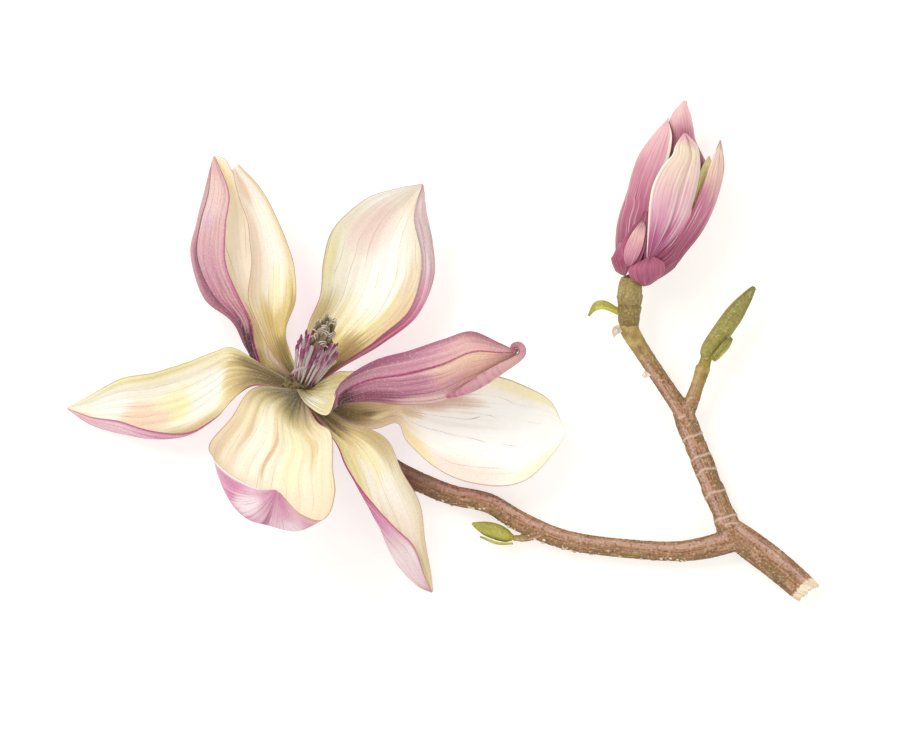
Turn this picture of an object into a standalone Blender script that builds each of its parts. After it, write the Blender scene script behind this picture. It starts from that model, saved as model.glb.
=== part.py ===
"""Lily magnolia branch: a cut, forked twig lying on its side, with one open flower, one opening
flower bud, one long leaf bud and one small side bud.

Every surface is laid out in millimetres over the table, with the flower's heart near x = 0, y = 0.
A tepal is a curved sheet given by a few rails that run from its claw to its tip. Seen from inside the
flower, the first rail is the left margin and the last is the right one. Where a margin rolls over,
one rail follows the fold and the next one the free edge.
"""

import math

import bpy
from mathutils import Vector

MM = 0.001
TEPAL_THICKNESS = 0.9  # fleshy petals, drawn out thinner towards their edges
BUD_TEPAL_THICKNESS = 0.55
ALONG = 17  # samples along a tepal
ACROSS = 11  # samples across it

# Heart of the flower: where the stamens begin, and the way the flower looks.
HEART = Vector((-0.5, 0.5, 24.5))
FLOWER_AXIS = Vector((0.30, 0.76, 0.57)).normalized()

# The twig's centre lines as (x, y, z, radius).
FLOWER_TWIG = [
    (-0.6, 0.3, 24.3, 3.0), (-1.5, -1.9, 22.6, 3.3), (-1.8, -5, 19.6, 3.4), (2.6, -9.4, 15, 3.3),
    (11, -15, 11.5, 3.4), (20.5, -22, 9.4, 3.5), (29.5, -28.6, 8.6, 3.55), (38, -33.5, 8.2, 3.6),
    (52, -39.4, 7.6, 3.6), (66, -42.6, 7, 3.6), (77, -49, 6.5, 3.7), (91, -55, 6.2, 3.5),
    (106, -58, 6, 3.4), (130, -60, 6, 3.5), (143, -59, 6.2, 4.0), (156, -55.5, 6.4, 4.4),
]
MAIN_STEM = [(151.5, -51, 6.5, 4.5), (160, -57.4, 6.3, 5.3), (170, -65, 5.7, 5.3), (180.7, -74.2, 5.3, 5.0)]
BUD_SHOOT = [
    (153.5, -54, 6.5, 4.6), (151.4, -47.6, 6.8, 4.3), (150.4, -45.2, 6.9, 3.8), (147, -37.4, 7.3, 4.1),
    (146.3, -35.6, 7.4, 3.7), (143.2, -27.6, 7.9, 4.1), (142.6, -26, 8, 3.7), (141, -22.2, 8.3, 4.0),
    (140.4, -20.6, 8.4, 3.7), (138.4, -15.8, 8.8, 4.0), (137.2, -12.6, 9, 3.9), (135.6, -8.6, 9.5, 3.4),
]
BUD_ARM = [
    (137.4, -12, 9, 3.4), (134, -6.5, 9.7, 3.1), (127.6, 3, 10.6, 2.9), (121, 13, 12, 3.0),
    (117.2, 19.4, 12.5, 3.4),
]
LEAF_ARM = [(136.4, -13, 9, 3.0), (139.3, -6, 9.6, 2.7), (141.3, -0.5, 10.3, 2.4), (143.6, 6.6, 11, 2.7)]
SIDE_BUD_STALK = [(84, -54, 6.2, 1.6), (79, -55.3, 6.2, 1.3), (75.2, -55.2, 6.2, 1.1)]
BUD_STALK = [
    (116.9, 21.0, 12.6, 3.6), (116.7, 23.6, 12.7, 4.2), (116.8, 25, 12.8, 3.8), (116.9, 27.6, 12.9, 4.4),
    (116.9, 29, 13.0, 4.0), (117, 32, 13.2, 4.7), (117, 33.6, 13.3, 4.3), (117.2, 36.2, 13.4, 4.5),
]

# Tepals of the open flower, named by where they point as the branch lies.
TEPAL_LEFT = [
    [(-5.6, -2.4, 23.2), (-18, 0.2, 22.4), (-26.2, -5.1, 20.9), (-32, -11.6, 18.8), (-42.5, -17, 17.2),
     (-55.5, -16.4, 14.5), (-67, -13, 10.5), (-78, -11.2, 6), (-86, -8.4, 1.4)],
    [(-6, -1.5, 22.6), (-18.3, -0.2, 21.4), (-26.5, -5.6, 20), (-32.6, -12.3, 18), (-42.5, -18.2, 15.5),
     (-55, -19.4, 12), (-67, -17.4, 8), (-78, -13.8, 4.2), (-86, -8.6, 1)],
    [(-6, -0.8, 22.2), (-18, 1.6, 20.6), (-27, -3, 18.6), (-32.5, -8, 16.5), (-42.5, -13, 13.5),
     (-55, -15, 10.4), (-67, -13.5, 7), (-78, -11, 3.8), (-86, -8.5, 1)],
    [(-5.8, 0.2, 21.8), (-17.5, 3.5, 20), (-27, 2, 18), (-33, -1.5, 16), (-43, -5.5, 13.3),
     (-55, -8.5, 10.3), (-67, -8.5, 7.3), (-78, -8.8, 4), (-86, -8.4, 1.1)],
    [(-5.8, 1, 21.6), (-17, 6, 20.6), (-27, 7.5, 19), (-33, 5, 17), (-43, 1.5, 14.5),
     (-55, -2, 11.5), (-67, -3.5, 8.5), (-78, -6.5, 4.8), (-86, -8.3, 1.2)],
    [(-5.8, 2, 21.4), (-17, 8.5, 22.4), (-26, 13.5, 22), (-33, 11.8, 20.5), (-43, 8, 18.5),
     (-55, 4.5, 16), (-67, 2, 12), (-78, -4, 6.5), (-86, -8.2, 1.4)],
]
TEPAL_FRONT = [
    [(0, -5.2, 28.2), (4.4, -13, 31.2), (9.6, -17.2, 37), (10.2, -29, 44), (10.8, -39, 51),
     (7, -47.7, 58), (-1.5, -45.8, 64.5), (-8.6, -38.2, 69)],
    [(-1, -4.4, 28.2), (0.3, -13, 31), (1.5, -23, 35), (1.5, -33, 38), (0.5, -43.5, 43),
     (-2, -52, 51), (-4.5, -48.5, 60.5), (-9, -38, 69)],
    [(-1.8, -3.2, 28.2), (-6, -12, 31), (-8.5, -22, 34), (-10.5, -32, 37), (-12, -42, 42),
     (-12.5, -50, 50), (-11, -47, 60), (-9.3, -37.6, 69)],
    [(-2.9, -2.4, 27.9), (-12, -7, 29.5), (-17, -17.5, 33), (-21, -28, 37), (-22.5, -38, 42.5),
     (-20.5, -47.3, 51), (-16.5, -44.5, 61), (-9.5, -37.5, 69)],
    [(-3.9, -1.8, 27.5), (-16, -3.8, 29), (-23, -14, 34.5), (-28.8, -24.5, 40.5), (-30, -33.8, 46.5),
     (-25.5, -41.8, 54), (-17.5, -41, 62.5), (-9.7, -37.4, 69)],
    [(-4.8, -1.2, 27), (-18.5, -1, 29), (-26.3, -11.8, 36), (-33.6, -20.5, 44), (-32.4, -26.3, 52),
     (-25.5, -32.2, 60.5), (-17, -36.5, 66), (-10, -37.3, 69)],
]
TEPAL_FRONT_RIGHT = [
    [(4.2, -5.6, 22.6), (14, -13, 24.4), (24, -16, 27), (30.5, -20.7, 27), (35, -31, 24),
     (41.4, -42.5, 18.5), (43.3, -56, 12), (45.5, -68, 5), (46, -74.6, 1.2)],
    [(3.5, -6.2, 22.4), (12, -14.5, 23.6), (21, -19.5, 25), (27, -25.5, 24.5), (31.5, -35, 21.5),
     (37.5, -46, 16), (40.5, -58.5, 9.5), (44.5, -69, 3.8), (45.9, -74.7, 1)],
    [(2.8, -6.9, 22.5), (10.5, -15.5, 23.2), (18, -22, 24), (23, -29.5, 23.5), (27.5, -38.5, 20.5),
     (33.5, -49.5, 14.8), (38, -60.5, 8.3), (43.6, -69.8, 3.2), (45.8, -74.8, 0.9)],
    [(2.1, -7.4, 22.8), (9.3, -16.2, 23.5), (14, -22.4, 24.2), (17.6, -30.4, 23.4), (23, -41, 20),
     (29.5, -52.5, 14), (35.5, -62.5, 7.8), (42.2, -70.8, 3), (45.7, -74.8, 0.9)],
    [(1.5, -7.7, 23.3), (8.4, -16.6, 24.4), (11.7, -22.2, 25), (14.8, -29.6, 24.4), (20, -39, 21.4),
     (26.5, -50.5, 16), (32.2, -62.8, 9), (39.8, -71.8, 3.6), (45.6, -74.9, 1)],
    [(1.2, -7.7, 24.3), (8.6, -16.5, 25.2), (12, -22, 25.9), (15.3, -29.3, 25.3), (21.2, -38.6, 22.7),
     (31.4, -50.4, 18.8), (39.3, -58.4, 12.5), (43.1, -68.8, 5.4), (45.7, -74.6, 1.4)],
]
TEPAL_RIGHT = [
    [(4.2, -2.6, 20.2), (16, -6, 21), (25, -5, 20.5), (33, -3, 20), (38, -0.5, 20), (47, 2.5, 20),
     (57, 4, 20), (67, 3.5, 19.6), (77.5, 0.4, 19), (88, -5.4, 16.5), (93, -14.5, 13)],
    [(3.8, -3.5, 20), (16, -8, 19.5), (25, -8.3, 18.4), (33, -7, 17), (38.5, -7, 16), (48, -6, 15.3),
     (58, -5.2, 15), (68, -5.3, 14.8), (78, -7.3, 14.5), (88.6, -11, 13.5), (93.6, -16, 12.6)],
    [(3.4, -4.4, 20.1), (15.8, -10.3, 19.2), (25, -11.3, 17.6), (33.3, -10.3, 15.8), (39, -12.2, 14.6),
     (49, -13.6, 13.2), (60, -15, 12.7), (70, -16, 12.5), (80, -16.5, 12.4), (89, -16.2, 12.5), (94, -17, 12.5)],
    [(3.2, -5.1, 20.4), (15.3, -12.2, 19.8), (24.8, -13.8, 18.6), (33.2, -12.3, 17), (38.3, -17, 16),
     (48.5, -22.3, 15), (59.5, -26, 14.3), (70, -27.2, 14), (80, -25.5, 13.6), (89.5, -20.7, 13),
     (93.7, -17.8, 12.7)],
    [(3.2, -5.7, 20.9), (14.8, -13.8, 21.2), (24.5, -15.9, 20.2), (33, -13.9, 19.4), (37, -20.5, 19.6),
     (46.5, -29.6, 19.4), (58, -34.8, 19), (70, -36.3, 18.2), (80.5, -33.8, 16.8), (89, -25.2, 14.5),
     (93.3, -18.8, 13)],
]
TEPAL_FOLDED = [
    [(2.6, -1.2, 28.5), (7.2, 2.4, 26.5), (12, 4.8, 27.5), (18, 5, 28), (27, 8, 29), (38, 10.5, 30),
     (49, 14, 31.5), (60, 17, 34), (70, 13.5, 37), (75.2, 12.1, 40.6)],
    [(1.2, -1.6, 28.9), (5.4, -1.8, 27.2), (11, -1.5, 26.6), (17, 0, 26.5), (26, 2, 26.5), (37, 3.5, 27),
     (49, 6, 28.5), (61, 10, 31), (70.5, 10.5, 35), (75.8, 11.6, 40)],
    [(-0.2, -1.7, 29.3), (3.4, -5, 29.2), (9.6, -7.2, 28.4), (15, -6.4, 28.8), (24, -5.8, 29.5), (36, -7, 31),
     (48.8, -6, 33), (60, -1, 35), (70, 5.2, 37.6), (76.3, 10.8, 40.6)],
    [(-1.4, -1.5, 29.6), (1.9, -6.2, 29.8), (9.2, -9.2, 30.2), (13.2, -4.6, 32.6), (23, -3, 35), (36, -3, 38),
     (48, -1.5, 40), (59, 3.5, 41), (69, 8, 41.5), (76.2, 11.3, 42)],
    [(-2.2, -1.6, 29.9), (1.2, -6.8, 30.6), (8.8, -10.1, 31.5), (11.8, -1.5, 34), (23, 3, 38), (36, 4, 41.5),
     (49, 6, 43), (60, 10.5, 43.5), (70, 11.5, 42.8), (75.9, 11.9, 42.8)],
    [(-3, -1.6, 30.2), (0.8, -7, 31.4), (8.4, -10.6, 32.5), (13.5, 1, 34.6), (25, 8.8, 37.4),
     (38, 12.5, 39.8), (50, 16.5, 41), (60, 19.3, 41), (70, 15.2, 41.6), (75.6, 12.4, 43.2)],
]
TEPAL_UPPER_RIGHT = [
    [(0.8, 2.6, 20.6), (0.5, 12, 21), (1, 21, 22), (5.5, 32, 23), (6.8, 45, 24.5), (10.5, 56.5, 26),
     (21, 66.4, 27), (32, 70.2, 27.6), (42.2, 72.3, 28)],
    [(1.3, 1.8, 20), (3.5, 12, 18), (6, 21, 17.5), (11, 32, 17), (14.5, 44, 18), (18, 54.5, 20),
     (27, 64, 22.5), (35.5, 69, 25), (42.3, 72.3, 27.8)],
    [(2, 0.9, 19.8), (7, 11, 16.5), (12, 20, 15), (18, 31, 13.5), (23, 42, 13.5), (27.5, 52, 15),
     (32.5, 61, 18), (37.5, 67, 22), (42.4, 72.2, 27.6)],
    [(2.8, 0.1, 19.8), (10.5, 9.5, 17), (19, 16.5, 16), (28, 26, 14.5), (34, 38, 14.5), (36.5, 49, 16),
     (38, 58, 19), (40, 65.5, 22.5), (42.4, 72.1, 27.4)],
    [(3.6, -0.6, 20), (13.5, 6.8, 18.2), (26.5, 14.6, 17.8), (39.5, 24.5, 17), (46.2, 38, 17.5),
     (45.8, 51, 19), (43.8, 61, 21.5), (42.9, 67.5, 24), (42.5, 72, 27.5)],
    [(4.2, 0.2, 20.8), (14, 8.5, 20.5), (26, 17, 20.8), (37.5, 27, 21), (42, 42, 22), (40.5, 53.5, 23),
     (39, 60, 24.5), (40.6, 67.5, 26), (42.4, 72.2, 28.2)],
]
TEPAL_UPPER_MIDDLE = [
    [(-4, 1.2, 21), (-11.5, 10.5, 21.2), (-16, 20, 22), (-20.2, 31, 23.5), (-19.3, 45, 25),
     (-20.3, 57, 26.5), (-24, 69, 28.5), (-26, 77.3, 31)],
    [(-3.3, 1.6, 20.3), (-9.5, 11, 18.4), (-13, 20.5, 17.5), (-16, 31.5, 17.5), (-15.8, 44.5, 18.5),
     (-17, 57, 20.5), (-21, 69, 24.5), (-25.5, 78, 30)],
    [(-2.5, 1.8, 19.9), (-8, 11, 17), (-10.5, 20.5, 15.5), (-12, 31.5, 15), (-12, 44.5, 15.8),
     (-13.5, 57, 18.3), (-18.8, 69, 23), (-25, 78.6, 29.5)],
    [(-1.7, 2, 19.8), (-6.5, 11, 17.4), (-8.3, 20.5, 16.3), (-8, 31, 16.5), (-8, 44, 17.3),
     (-10, 56.5, 19.8), (-17, 69.5, 24), (-24.5, 79, 29.8)],
    [(-0.9, 2.2, 20), (-5.3, 10.5, 19), (-6.8, 20, 19), (-3.5, 30, 20), (-4, 43.5, 21),
     (-8.5, 56.5, 22.5), (-15.5, 70, 25.5), (-23.8, 79.4, 30.5)],
]
TEPAL_UPPER_LEFT = [
    [(-5.2, -0.2, 20), (-14, 3.6, 18.8), (-17.6, 13.6, 19.8), (-19.3, 23, 21.5), (-24, 32.5, 22.5),
     (-28.4, 44, 23.5), (-28.4, 57, 25), (-27.2, 69, 27), (-32, 81.6, 27)],
    [(-5.2, 0.2, 19.6), (-15.5, 5, 18), (-19.4, 13.5, 19), (-24, 23.6, 20.4), (-32.6, 32.4, 21.6),
     (-37.2, 45.5, 22), (-36.6, 58, 23), (-33.6, 70, 25), (-32.3, 81.9, 26.6)],
    [(-5, 0.7, 19.2), (-16.6, 6, 16.8), (-21, 13, 16.5), (-26.6, 23.3, 16.6), (-36.2, 31.6, 16.2),
     (-41, 47, 16), (-39, 58.5, 17.8), (-36.2, 70, 20.5), (-32.7, 82.3, 26)],
    [(-4.7, 1.1, 18.9), (-15.6, 7, 15.4), (-19, 15, 14.2), (-23, 24.5, 13.6), (-31.5, 33, 13.2),
     (-36, 45.5, 13.2), (-35, 58, 15), (-33.5, 70.5, 18.6), (-32.3, 82.4, 25.6)],
    [(-4.3, 1.5, 18.7), (-13.5, 8.5, 14.8), (-15.5, 17, 13.6), (-18.4, 27, 13.4), (-24.4, 36, 13.8),
     (-28.4, 47, 14.6), (-28.4, 59, 16.6), (-29.4, 71, 19.8), (-31, 82.2, 25.6)],
    [(-3.9, 1.9, 18.6), (-11, 9.5, 14.5), (-12.5, 18, 13), (-14.4, 28, 13.6), (-17.6, 38, 14.6),
     (-19, 49, 15.6), (-20.8, 61, 18.2), (-24, 72.5, 22), (-28.4, 81.2, 26.4)],
]

# The flower bud: its centre line as (x, y, z, radius), and each bud tepal as stations of
# (distance along, from 0 to 1, first angle, last angle, extra radius). 90 degrees faces up.
BUD_LINE = [
    (117.4, 38, 13.6, 4.6), (120, 43, 13.8, 9.0), (123.6, 50, 14, 12.4), (127.2, 57.5, 14.2, 14.0),
    (130.6, 65, 14.4, 14.5), (132.6, 72.5, 14.5, 14.4), (134, 80, 14.6, 13.2), (135.4, 88, 14.8, 9.6),
    (136.6, 96, 15, 4.6), (136.9, 102, 15.2, 1.2),
]
BUD_CORE_INSET = 2.2
BUD_CORE_TIP = [
    (135.2, 88.6, 15, 5.6), (135.4, 93.6, 15.1, 4.7), (136, 98.4, 15.2, 3.3),
    (136.8, 101.8, 15.3, 1.3),
]
BUD_TEPALS = {
    "bud_tepal_left": [
        (0.04, 205, 135, 0), (0.16, 222, 128, 0), (0.3, 225, 124, 0), (0.45, 222, 122, 0.1),
        (0.6, 216, 118, 0.3), (0.72, 205, 116, 0.4), (0.84, 188, 138, 1.2), (0.93, 166, 154, 3.4),
    ],
    "bud_tepal_front": [
        (0.05, 112, 66, 1.1), (0.16, 124, 60, 1.1), (0.3, 122, 54, 1.2), (0.45, 120, 50, 1.3),
        (0.6, 116, 54, 1.4), (0.72, 108, 60, 1.6), (0.8, 98, 72, 2), (0.84, 88, 83, 2.3),
    ],
    "bud_tepal_right": [
        (0.03, 75, -40, -0.1), (0.14, 70, -55, 0.1), (0.28, 62, -58, 0.2), (0.42, 55, -54, 0.3),
        (0.56, 45, -46, 0.9), (0.68, 32, -34, 2.4), (0.78, 16, -18, 4.6), (0.85, 2, -5, 7),
    ],
    "bud_tepal_back": [
        (0.04, -45, -150, -1.1), (0.16, -40, -155, -1.1), (0.32, -38, -156, -1.1), (0.5, -36, -156, -1.1),
        (0.6, -33, -158, -1.1), (0.7, -36, -155, -1.0), (0.76, -45, -145, -0.8),
    ],
    "bud_tepal_base": [
        (0.06, 160, 112, 2.2), (0.13, 172, 118, 2.3), (0.22, 172, 120, 2.3), (0.3, 165, 122, 2.2),
        (0.37, 152, 130, 2.1), (0.4, 143, 137, 2.1),
    ],
    "bud_scale": [
        (0.0, 222, 156, 1.2), (0.05, 230, 168, 2.2), (0.12, 224, 180, 2.4), (0.17, 208, 190, 2.2),
    ],
    "bud_lower_scale": [
        (0.0, 108, 30, 1.2), (0.04, 106, 30, 2.2), (0.08, 98, 40, 2.4), (0.12, 84, 60, 2.5),
    ],
}


def spline(points, parameter):
    """Catmull-Rom through points spaced one apart, at a parameter from 0 to len(points) - 1."""
    last = len(points) - 1
    i = min(max(int(parameter), 0), last - 1)
    t = parameter - i
    p1, p2 = points[i], points[i + 1]
    p0 = points[i - 1] if i > 0 else p1 * 2 - p2
    p3 = points[i + 2] if i + 2 <= last else p2 * 2 - p1
    return (
        p1 * 2 + (p2 - p0) * t + (p0 * 2 - p1 * 5 + p2 * 4 - p3) * t * t
        + (p1 * 3 - p0 - p2 * 3 + p3) * t * t * t
    ) * 0.5


def even_curve(points, count):
    """Points about evenly spaced along the smooth curve through these."""
    steps = 12 * (len(points) - 1)
    fine = [spline(points, k / 12) for k in range(steps + 1)]
    run = [0.0]
    for a, b in zip(fine, fine[1:]):
        run.append(run[-1] + (b - a).length)
    found, k = [], 0
    for n in range(count):
        goal = run[-1] * n / (count - 1)
        while k < steps - 1 and run[k + 1] < goal:
            k += 1
        span = run[k + 1] - run[k]
        found.append(fine[k].lerp(fine[k + 1], (goal - run[k]) / span if span > 0 else 0.0))
    return found


def sheet_grid(rails, along, across):
    rails = [[Vector(p) for p in rail] for rail in rails]
    last = len(rails[0]) - 1
    return [
        even_curve([spline(rail, last * n / (along - 1)) for rail in rails], across)
        for n in range(along)
    ]


def sheet(name, grid, thickness, edge):
    """A closed sheet: a grid of points given its thickness by Solidify, thinner at the margins."""
    rows, columns = len(grid), len(grid[0])
    faces = []
    for i in range(rows - 1):
        for j in range(columns - 1):
            corner = i * columns + j
            faces.append((corner, corner + 1, corner + columns + 1, corner + columns))
    piece = add_mesh(name, [point for row in grid for point in row], faces)
    fullness = piece.vertex_groups.new(name="fullness")
    for i in range(rows):
        for j in range(columns):
            from_margin = min(j, columns - 1 - j) / (columns - 1)
            fullness.add([i * columns + j], min(1.0, from_margin * 4), "REPLACE")
    solidify = piece.modifiers.new("thickness", "SOLIDIFY")
    solidify.thickness = thickness * MM
    solidify.offset = 0
    solidify.vertex_group = fullness.name
    solidify.thickness_vertex_group = edge
    return piece


def add_mesh(name, points, faces):
    mesh = bpy.data.meshes.new(name)
    mesh.from_pydata([point * MM for point in points], [], faces)
    mesh.shade_smooth()
    piece = bpy.data.objects.new(name, mesh)
    bpy.context.collection.objects.link(piece)
    return piece


def cross_frames(centres):
    """Two directions across a curve at each of its points, turned as little as possible."""
    frames = []
    side = None
    for i, centre in enumerate(centres):
        ahead = centres[min(i + 1, len(centres) - 1)] - centres[max(i - 1, 0)]
        ahead.normalize()
        if side is None:
            side = ahead.cross(Vector((0, 0, 1)))
            if side.length < 0.1:
                side = ahead.cross(Vector((1, 0, 0)))
        side = (side - ahead * side.dot(ahead)).normalized()
        frames.append((side, ahead.cross(side)))
    return frames


def tube(name, stations, sides=14, steps=2, rounded=False):
    """A round rod through (x, y, z, radius) stations, with flat or rounded ends."""
    centres4 = [Vector(s) for s in stations]
    count = steps * (len(stations) - 1) + 1
    samples = [spline(centres4, k / steps) for k in range(count)]
    centres = [Vector(s[:3]) for s in samples]
    frames = cross_frames(centres)
    points, faces = [], []
    for centre, sample, (side, up) in zip(centres, samples, frames):
        for k in range(sides):
            turn = 2 * math.pi * k / sides
            points.append(centre + (side * math.cos(turn) + up * math.sin(turn)) * sample[3])
    for i in range(count - 1):
        for k in range(sides):
            a, b = i * sides + k, i * sides + (k + 1) % sides
            faces.append((a, b, b + sides, a + sides))
    bulge = 0.5 if rounded else 0.0
    first = centres[0] - (centres[1] - centres[0]).normalized() * samples[0][3] * bulge
    last = centres[-1] + (centres[-1] - centres[-2]).normalized() * samples[-1][3] * bulge
    points += [first, last]
    for k in range(sides):
        faces.append((len(points) - 2, (k + 1) % sides, k))
        top = (count - 1) * sides
        faces.append((len(points) - 1, top + k, top + (k + 1) % sides))
    return add_mesh(name, points, faces)


def join_solids(base, others):
    """Unites the others with the base and removes them."""
    for other in others:
        union = base.modifiers.new("union", "BOOLEAN")
        union.operation = "UNION"
        union.solver = "EXACT"
        union.object = other
        graph = bpy.context.evaluated_depsgraph_get()
        mesh = bpy.data.meshes.new_from_object(base.evaluated_get(graph))
        base.modifiers.remove(union)
        base.data = mesh
        bpy.data.objects.remove(other)
    return base


def build_branch():
    """The woody twig: cut stem, flower twig, bud shoot with its ring scars, and two arms."""
    stem = tube("branch", MAIN_STEM, sides=18)
    rest = [
        tube("twig", FLOWER_TWIG, sides=16),
        tube("shoot", BUD_SHOOT, sides=16, steps=1),
        tube("bud_arm", BUD_ARM, sides=14),
        tube("leaf_arm", LEAF_ARM, sides=12),
        tube("side_stalk", SIDE_BUD_STALK, sides=8),
    ]
    return join_solids(stem, rest)


def around_axis(height, angle, radius):
    """A point by its height on the flower's axis, its angle round it and its distance."""
    side = FLOWER_AXIS.cross(Vector((0, 0, 1))).normalized()
    back = FLOWER_AXIS.cross(side)
    turn = math.radians(angle)
    return HEART + FLOWER_AXIS * height + (side * math.cos(turn) + back * math.sin(turn)) * radius


def build_gynoecium():
    """The cone of carpels, with a knobbly outline, above the stamens."""
    profile = [
        (3.8, 1.9), (9, 2.2), (14, 2.6), (18, 3.3), (21, 3.2), (23.5, 3.4), (26, 2.8), (28.4, 1.8),
        (30.4, 0.6),
    ]
    stations = [tuple(HEART + FLOWER_AXIS * h) + (r,) for h, r in profile]
    return tube("carpel_cone", stations, sides=12, steps=1, rounded=True)


def build_stamens():
    """A crown of slender stamens that stand round the carpels on one thick disc."""
    disc = [(0.3, 3.0), (1.2, 3.5), (2.4, 3.5)]
    disc = tube("stamens", [tuple(HEART + FLOWER_AXIS * h) + (r,) for h, r in disc], sides=20, steps=1)
    rods = []
    for ring, (count, lean, reach) in enumerate(((11, 4.9, 18.6), (12, 6.4, 16.6))):
        for k in range(count):
            angle = 360 * (k + 0.35 + 0.5 * ring) / count
            foot = around_axis(1.6, angle, 2.7 + 0.4 * ring)
            middle = around_axis(reach * 0.55, angle, 3.75 + ring * 0.75)
            tip = around_axis(reach + 1.2 * math.sin(k * 2.3), angle, lean)
            stations = [tuple(foot) + (0.42,), tuple(middle) + (0.48,), tuple(tip) + (0.34,)]
            rods.append(tube("rod", stations, sides=5, steps=1))
    return join_solids(disc, rods)


def bud_frame(distance):
    """Centre, radius and sideways direction of the bud at a distance from 0 to 1 along it."""
    stations = [Vector(s) for s in BUD_LINE]
    last = len(stations) - 1
    where = min(max(distance, 0.0), 1.0) * last
    sample = spline(stations, where)
    ahead = spline(stations, min(where + 0.3, last)) - spline(stations, max(where - 0.3, 0))
    ahead = Vector((ahead[0], ahead[1], 0)).normalized()
    centre = Vector(sample[:3]) + ahead * min(distance, 0.0) * 60
    return centre, sample[3], Vector((ahead.y, -ahead.x, 0))


def build_bud_tepal(name, stations):
    """A sheet wrapped round the bud between two angles that change along it."""
    stations = [Vector(s) for s in stations]
    last = len(stations) - 1
    along, across = 11, 9
    grid = []
    for n in range(along):
        distance, first, final, extra = spline(stations, last * n / (along - 1))
        centre, radius, side = bud_frame(distance)
        row = []
        for k in range(across):
            turn = math.radians(first + (final - first) * k / (across - 1))
            out = side * math.cos(turn) + Vector((0, 0, 1)) * math.sin(turn)
            row.append(centre + out * (radius + extra))
        grid.append(row)
    return sheet(name, grid, BUD_TEPAL_THICKNESS, edge=0.7)


def build_bud_core():
    """The furled inner tepals, seen as one closed spindle inside the outer ones."""
    stations = []
    for x, y, z, radius in BUD_LINE[:7]:
        stations.append((x, y, z, radius - BUD_CORE_INSET))
    return tube("bud_core", stations + BUD_CORE_TIP, sides=14, steps=1, rounded=True)


def build_small_parts():
    """Buds, bract and dry scales on the twigs."""
    parts = [
        tube("bud_stalk", BUD_STALK, sides=14, steps=1),
        tube("leaf_bud", [
            (144.5, 9.6, 11.2, 1.9), (145.2, 11.4, 11.4, 2.9), (146.8, 14.1, 11.7, 3.4),
            (150.6, 19.7, 12, 3.5),
            (154.2, 24.8, 12.4, 3.4), (156.6, 28.2, 12.7, 3.0), (159, 31.4, 12.9, 2.2),
            (161.4, 34.7, 13.2, 0.9),
        ], sides=12, steps=1, rounded=True),
        tube("side_bud", [
            (74.4, -55.1, 6.4, 1.3), (72.4, -54.4, 6.4, 2.3), (69, -53, 6.5, 2.8), (65, -51.7, 6.6, 2.4),
            (61.8, -50.6, 6.6, 1.2), (60.4, -50, 6.6, 0.5),
        ], sides=10, steps=1, rounded=True),
    ]
    sheets = {
        "leaf_bud_scale": ([
            [(145.8, 9.8, 15), (148.4, 12.8, 16.3), (150.8, 15.6, 16.4), (153.2, 17.4, 15.8)],
            [(146.8, 9, 14.4), (149.4, 11.8, 15.6), (152, 14.6, 15.7), (153.7, 17, 15.4)],
            [(147.8, 8.4, 12.6), (150.6, 10.9, 13.4), (153, 13.8, 14), (154.1, 16.6, 14.8)],
        ], 0.5),
        "bract": ([
            [(112, 27.6, 13.5), (108, 30.4, 14), (104, 29.6, 14), (101.9, 25, 14)],
            [(112, 26.4, 15), (108, 28.9, 15.2), (104.4, 28.3, 15), (102.1, 24.9, 14.4)],
            [(112, 25, 15.5), (108, 27.2, 15.8), (104.8, 26.8, 15.6), (102.3, 24.8, 14.8)],
        ], 0.7),
        "side_bud_scale": ([
            [(75, -57.4, 5), (70, -57.3, 5), (66, -56, 5.4), (63, -54.6, 5.8)],
            [(75, -57.3, 6.6), (70, -57.5, 7), (66, -56.2, 7), (63, -54.8, 6.8)],
            [(74.6, -56.8, 8.4), (70, -56.7, 8.9), (66, -55.4, 8.6), (63, -54.4, 7.8)],
        ], 0.5),
        "dry_scale_left": ([
            [(112, 21.6, 14.8), (110.8, 20.6, 15.4), (110.6, 18.9, 15.4)],
            [(112.4, 20.2, 15.2), (111.2, 19.2, 16), (111, 17.8, 15.8)],
            [(113, 19.2, 15), (112, 17.9, 15.4), (111.4, 17, 15.2)],
        ], 0.4),
        "dry_scale_right": ([
            [(122.4, 5.2, 11.2), (121.6, 4.2, 11.8), (121.4, 3.2, 12)],
            [(122.9, 4.6, 12.2), (122.2, 3.6, 12.8), (121.9, 2.8, 12.8)],
            [(123.6, 3.4, 13.2), (123, 2.7, 13.4), (122.4, 2.3, 13.2)],
        ], 0.4),
    }
    for name, (rails, thickness) in sheets.items():
        parts.append(sheet(name, sheet_grid(rails, 7, 5), thickness, edge=0.8))
    return parts


def give_material(piece, name, colour, roughness):
    material = bpy.data.materials.get(name) or bpy.data.materials.new(name)
    material.use_nodes = True
    shader = material.node_tree.nodes["Principled BSDF"]
    shader.inputs["Base Color"].default_value = (*colour, 1)
    shader.inputs["Roughness"].default_value = roughness
    piece.data.materials.clear()
    piece.data.materials.append(material)


def rest_on_table(pieces):
    """Parents every piece to one empty, placed so that the middle of the box's base is the origin."""
    root = bpy.data.objects.new("magnolia_branch", None)
    bpy.context.collection.objects.link(root)
    graph = bpy.context.evaluated_depsgraph_get()
    corners = []
    for piece in pieces:
        piece.parent = root
        mesh = piece.evaluated_get(graph).to_mesh()
        corners += [vertex.co.copy() for vertex in mesh.vertices]
    low = [min(c[axis] for c in corners) for axis in range(3)]
    high = [max(c[axis] for c in corners) for axis in range(3)]
    root.location = (-(low[0] + high[0]) / 2, -(low[1] + high[1]) / 2, -low[2])


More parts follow.
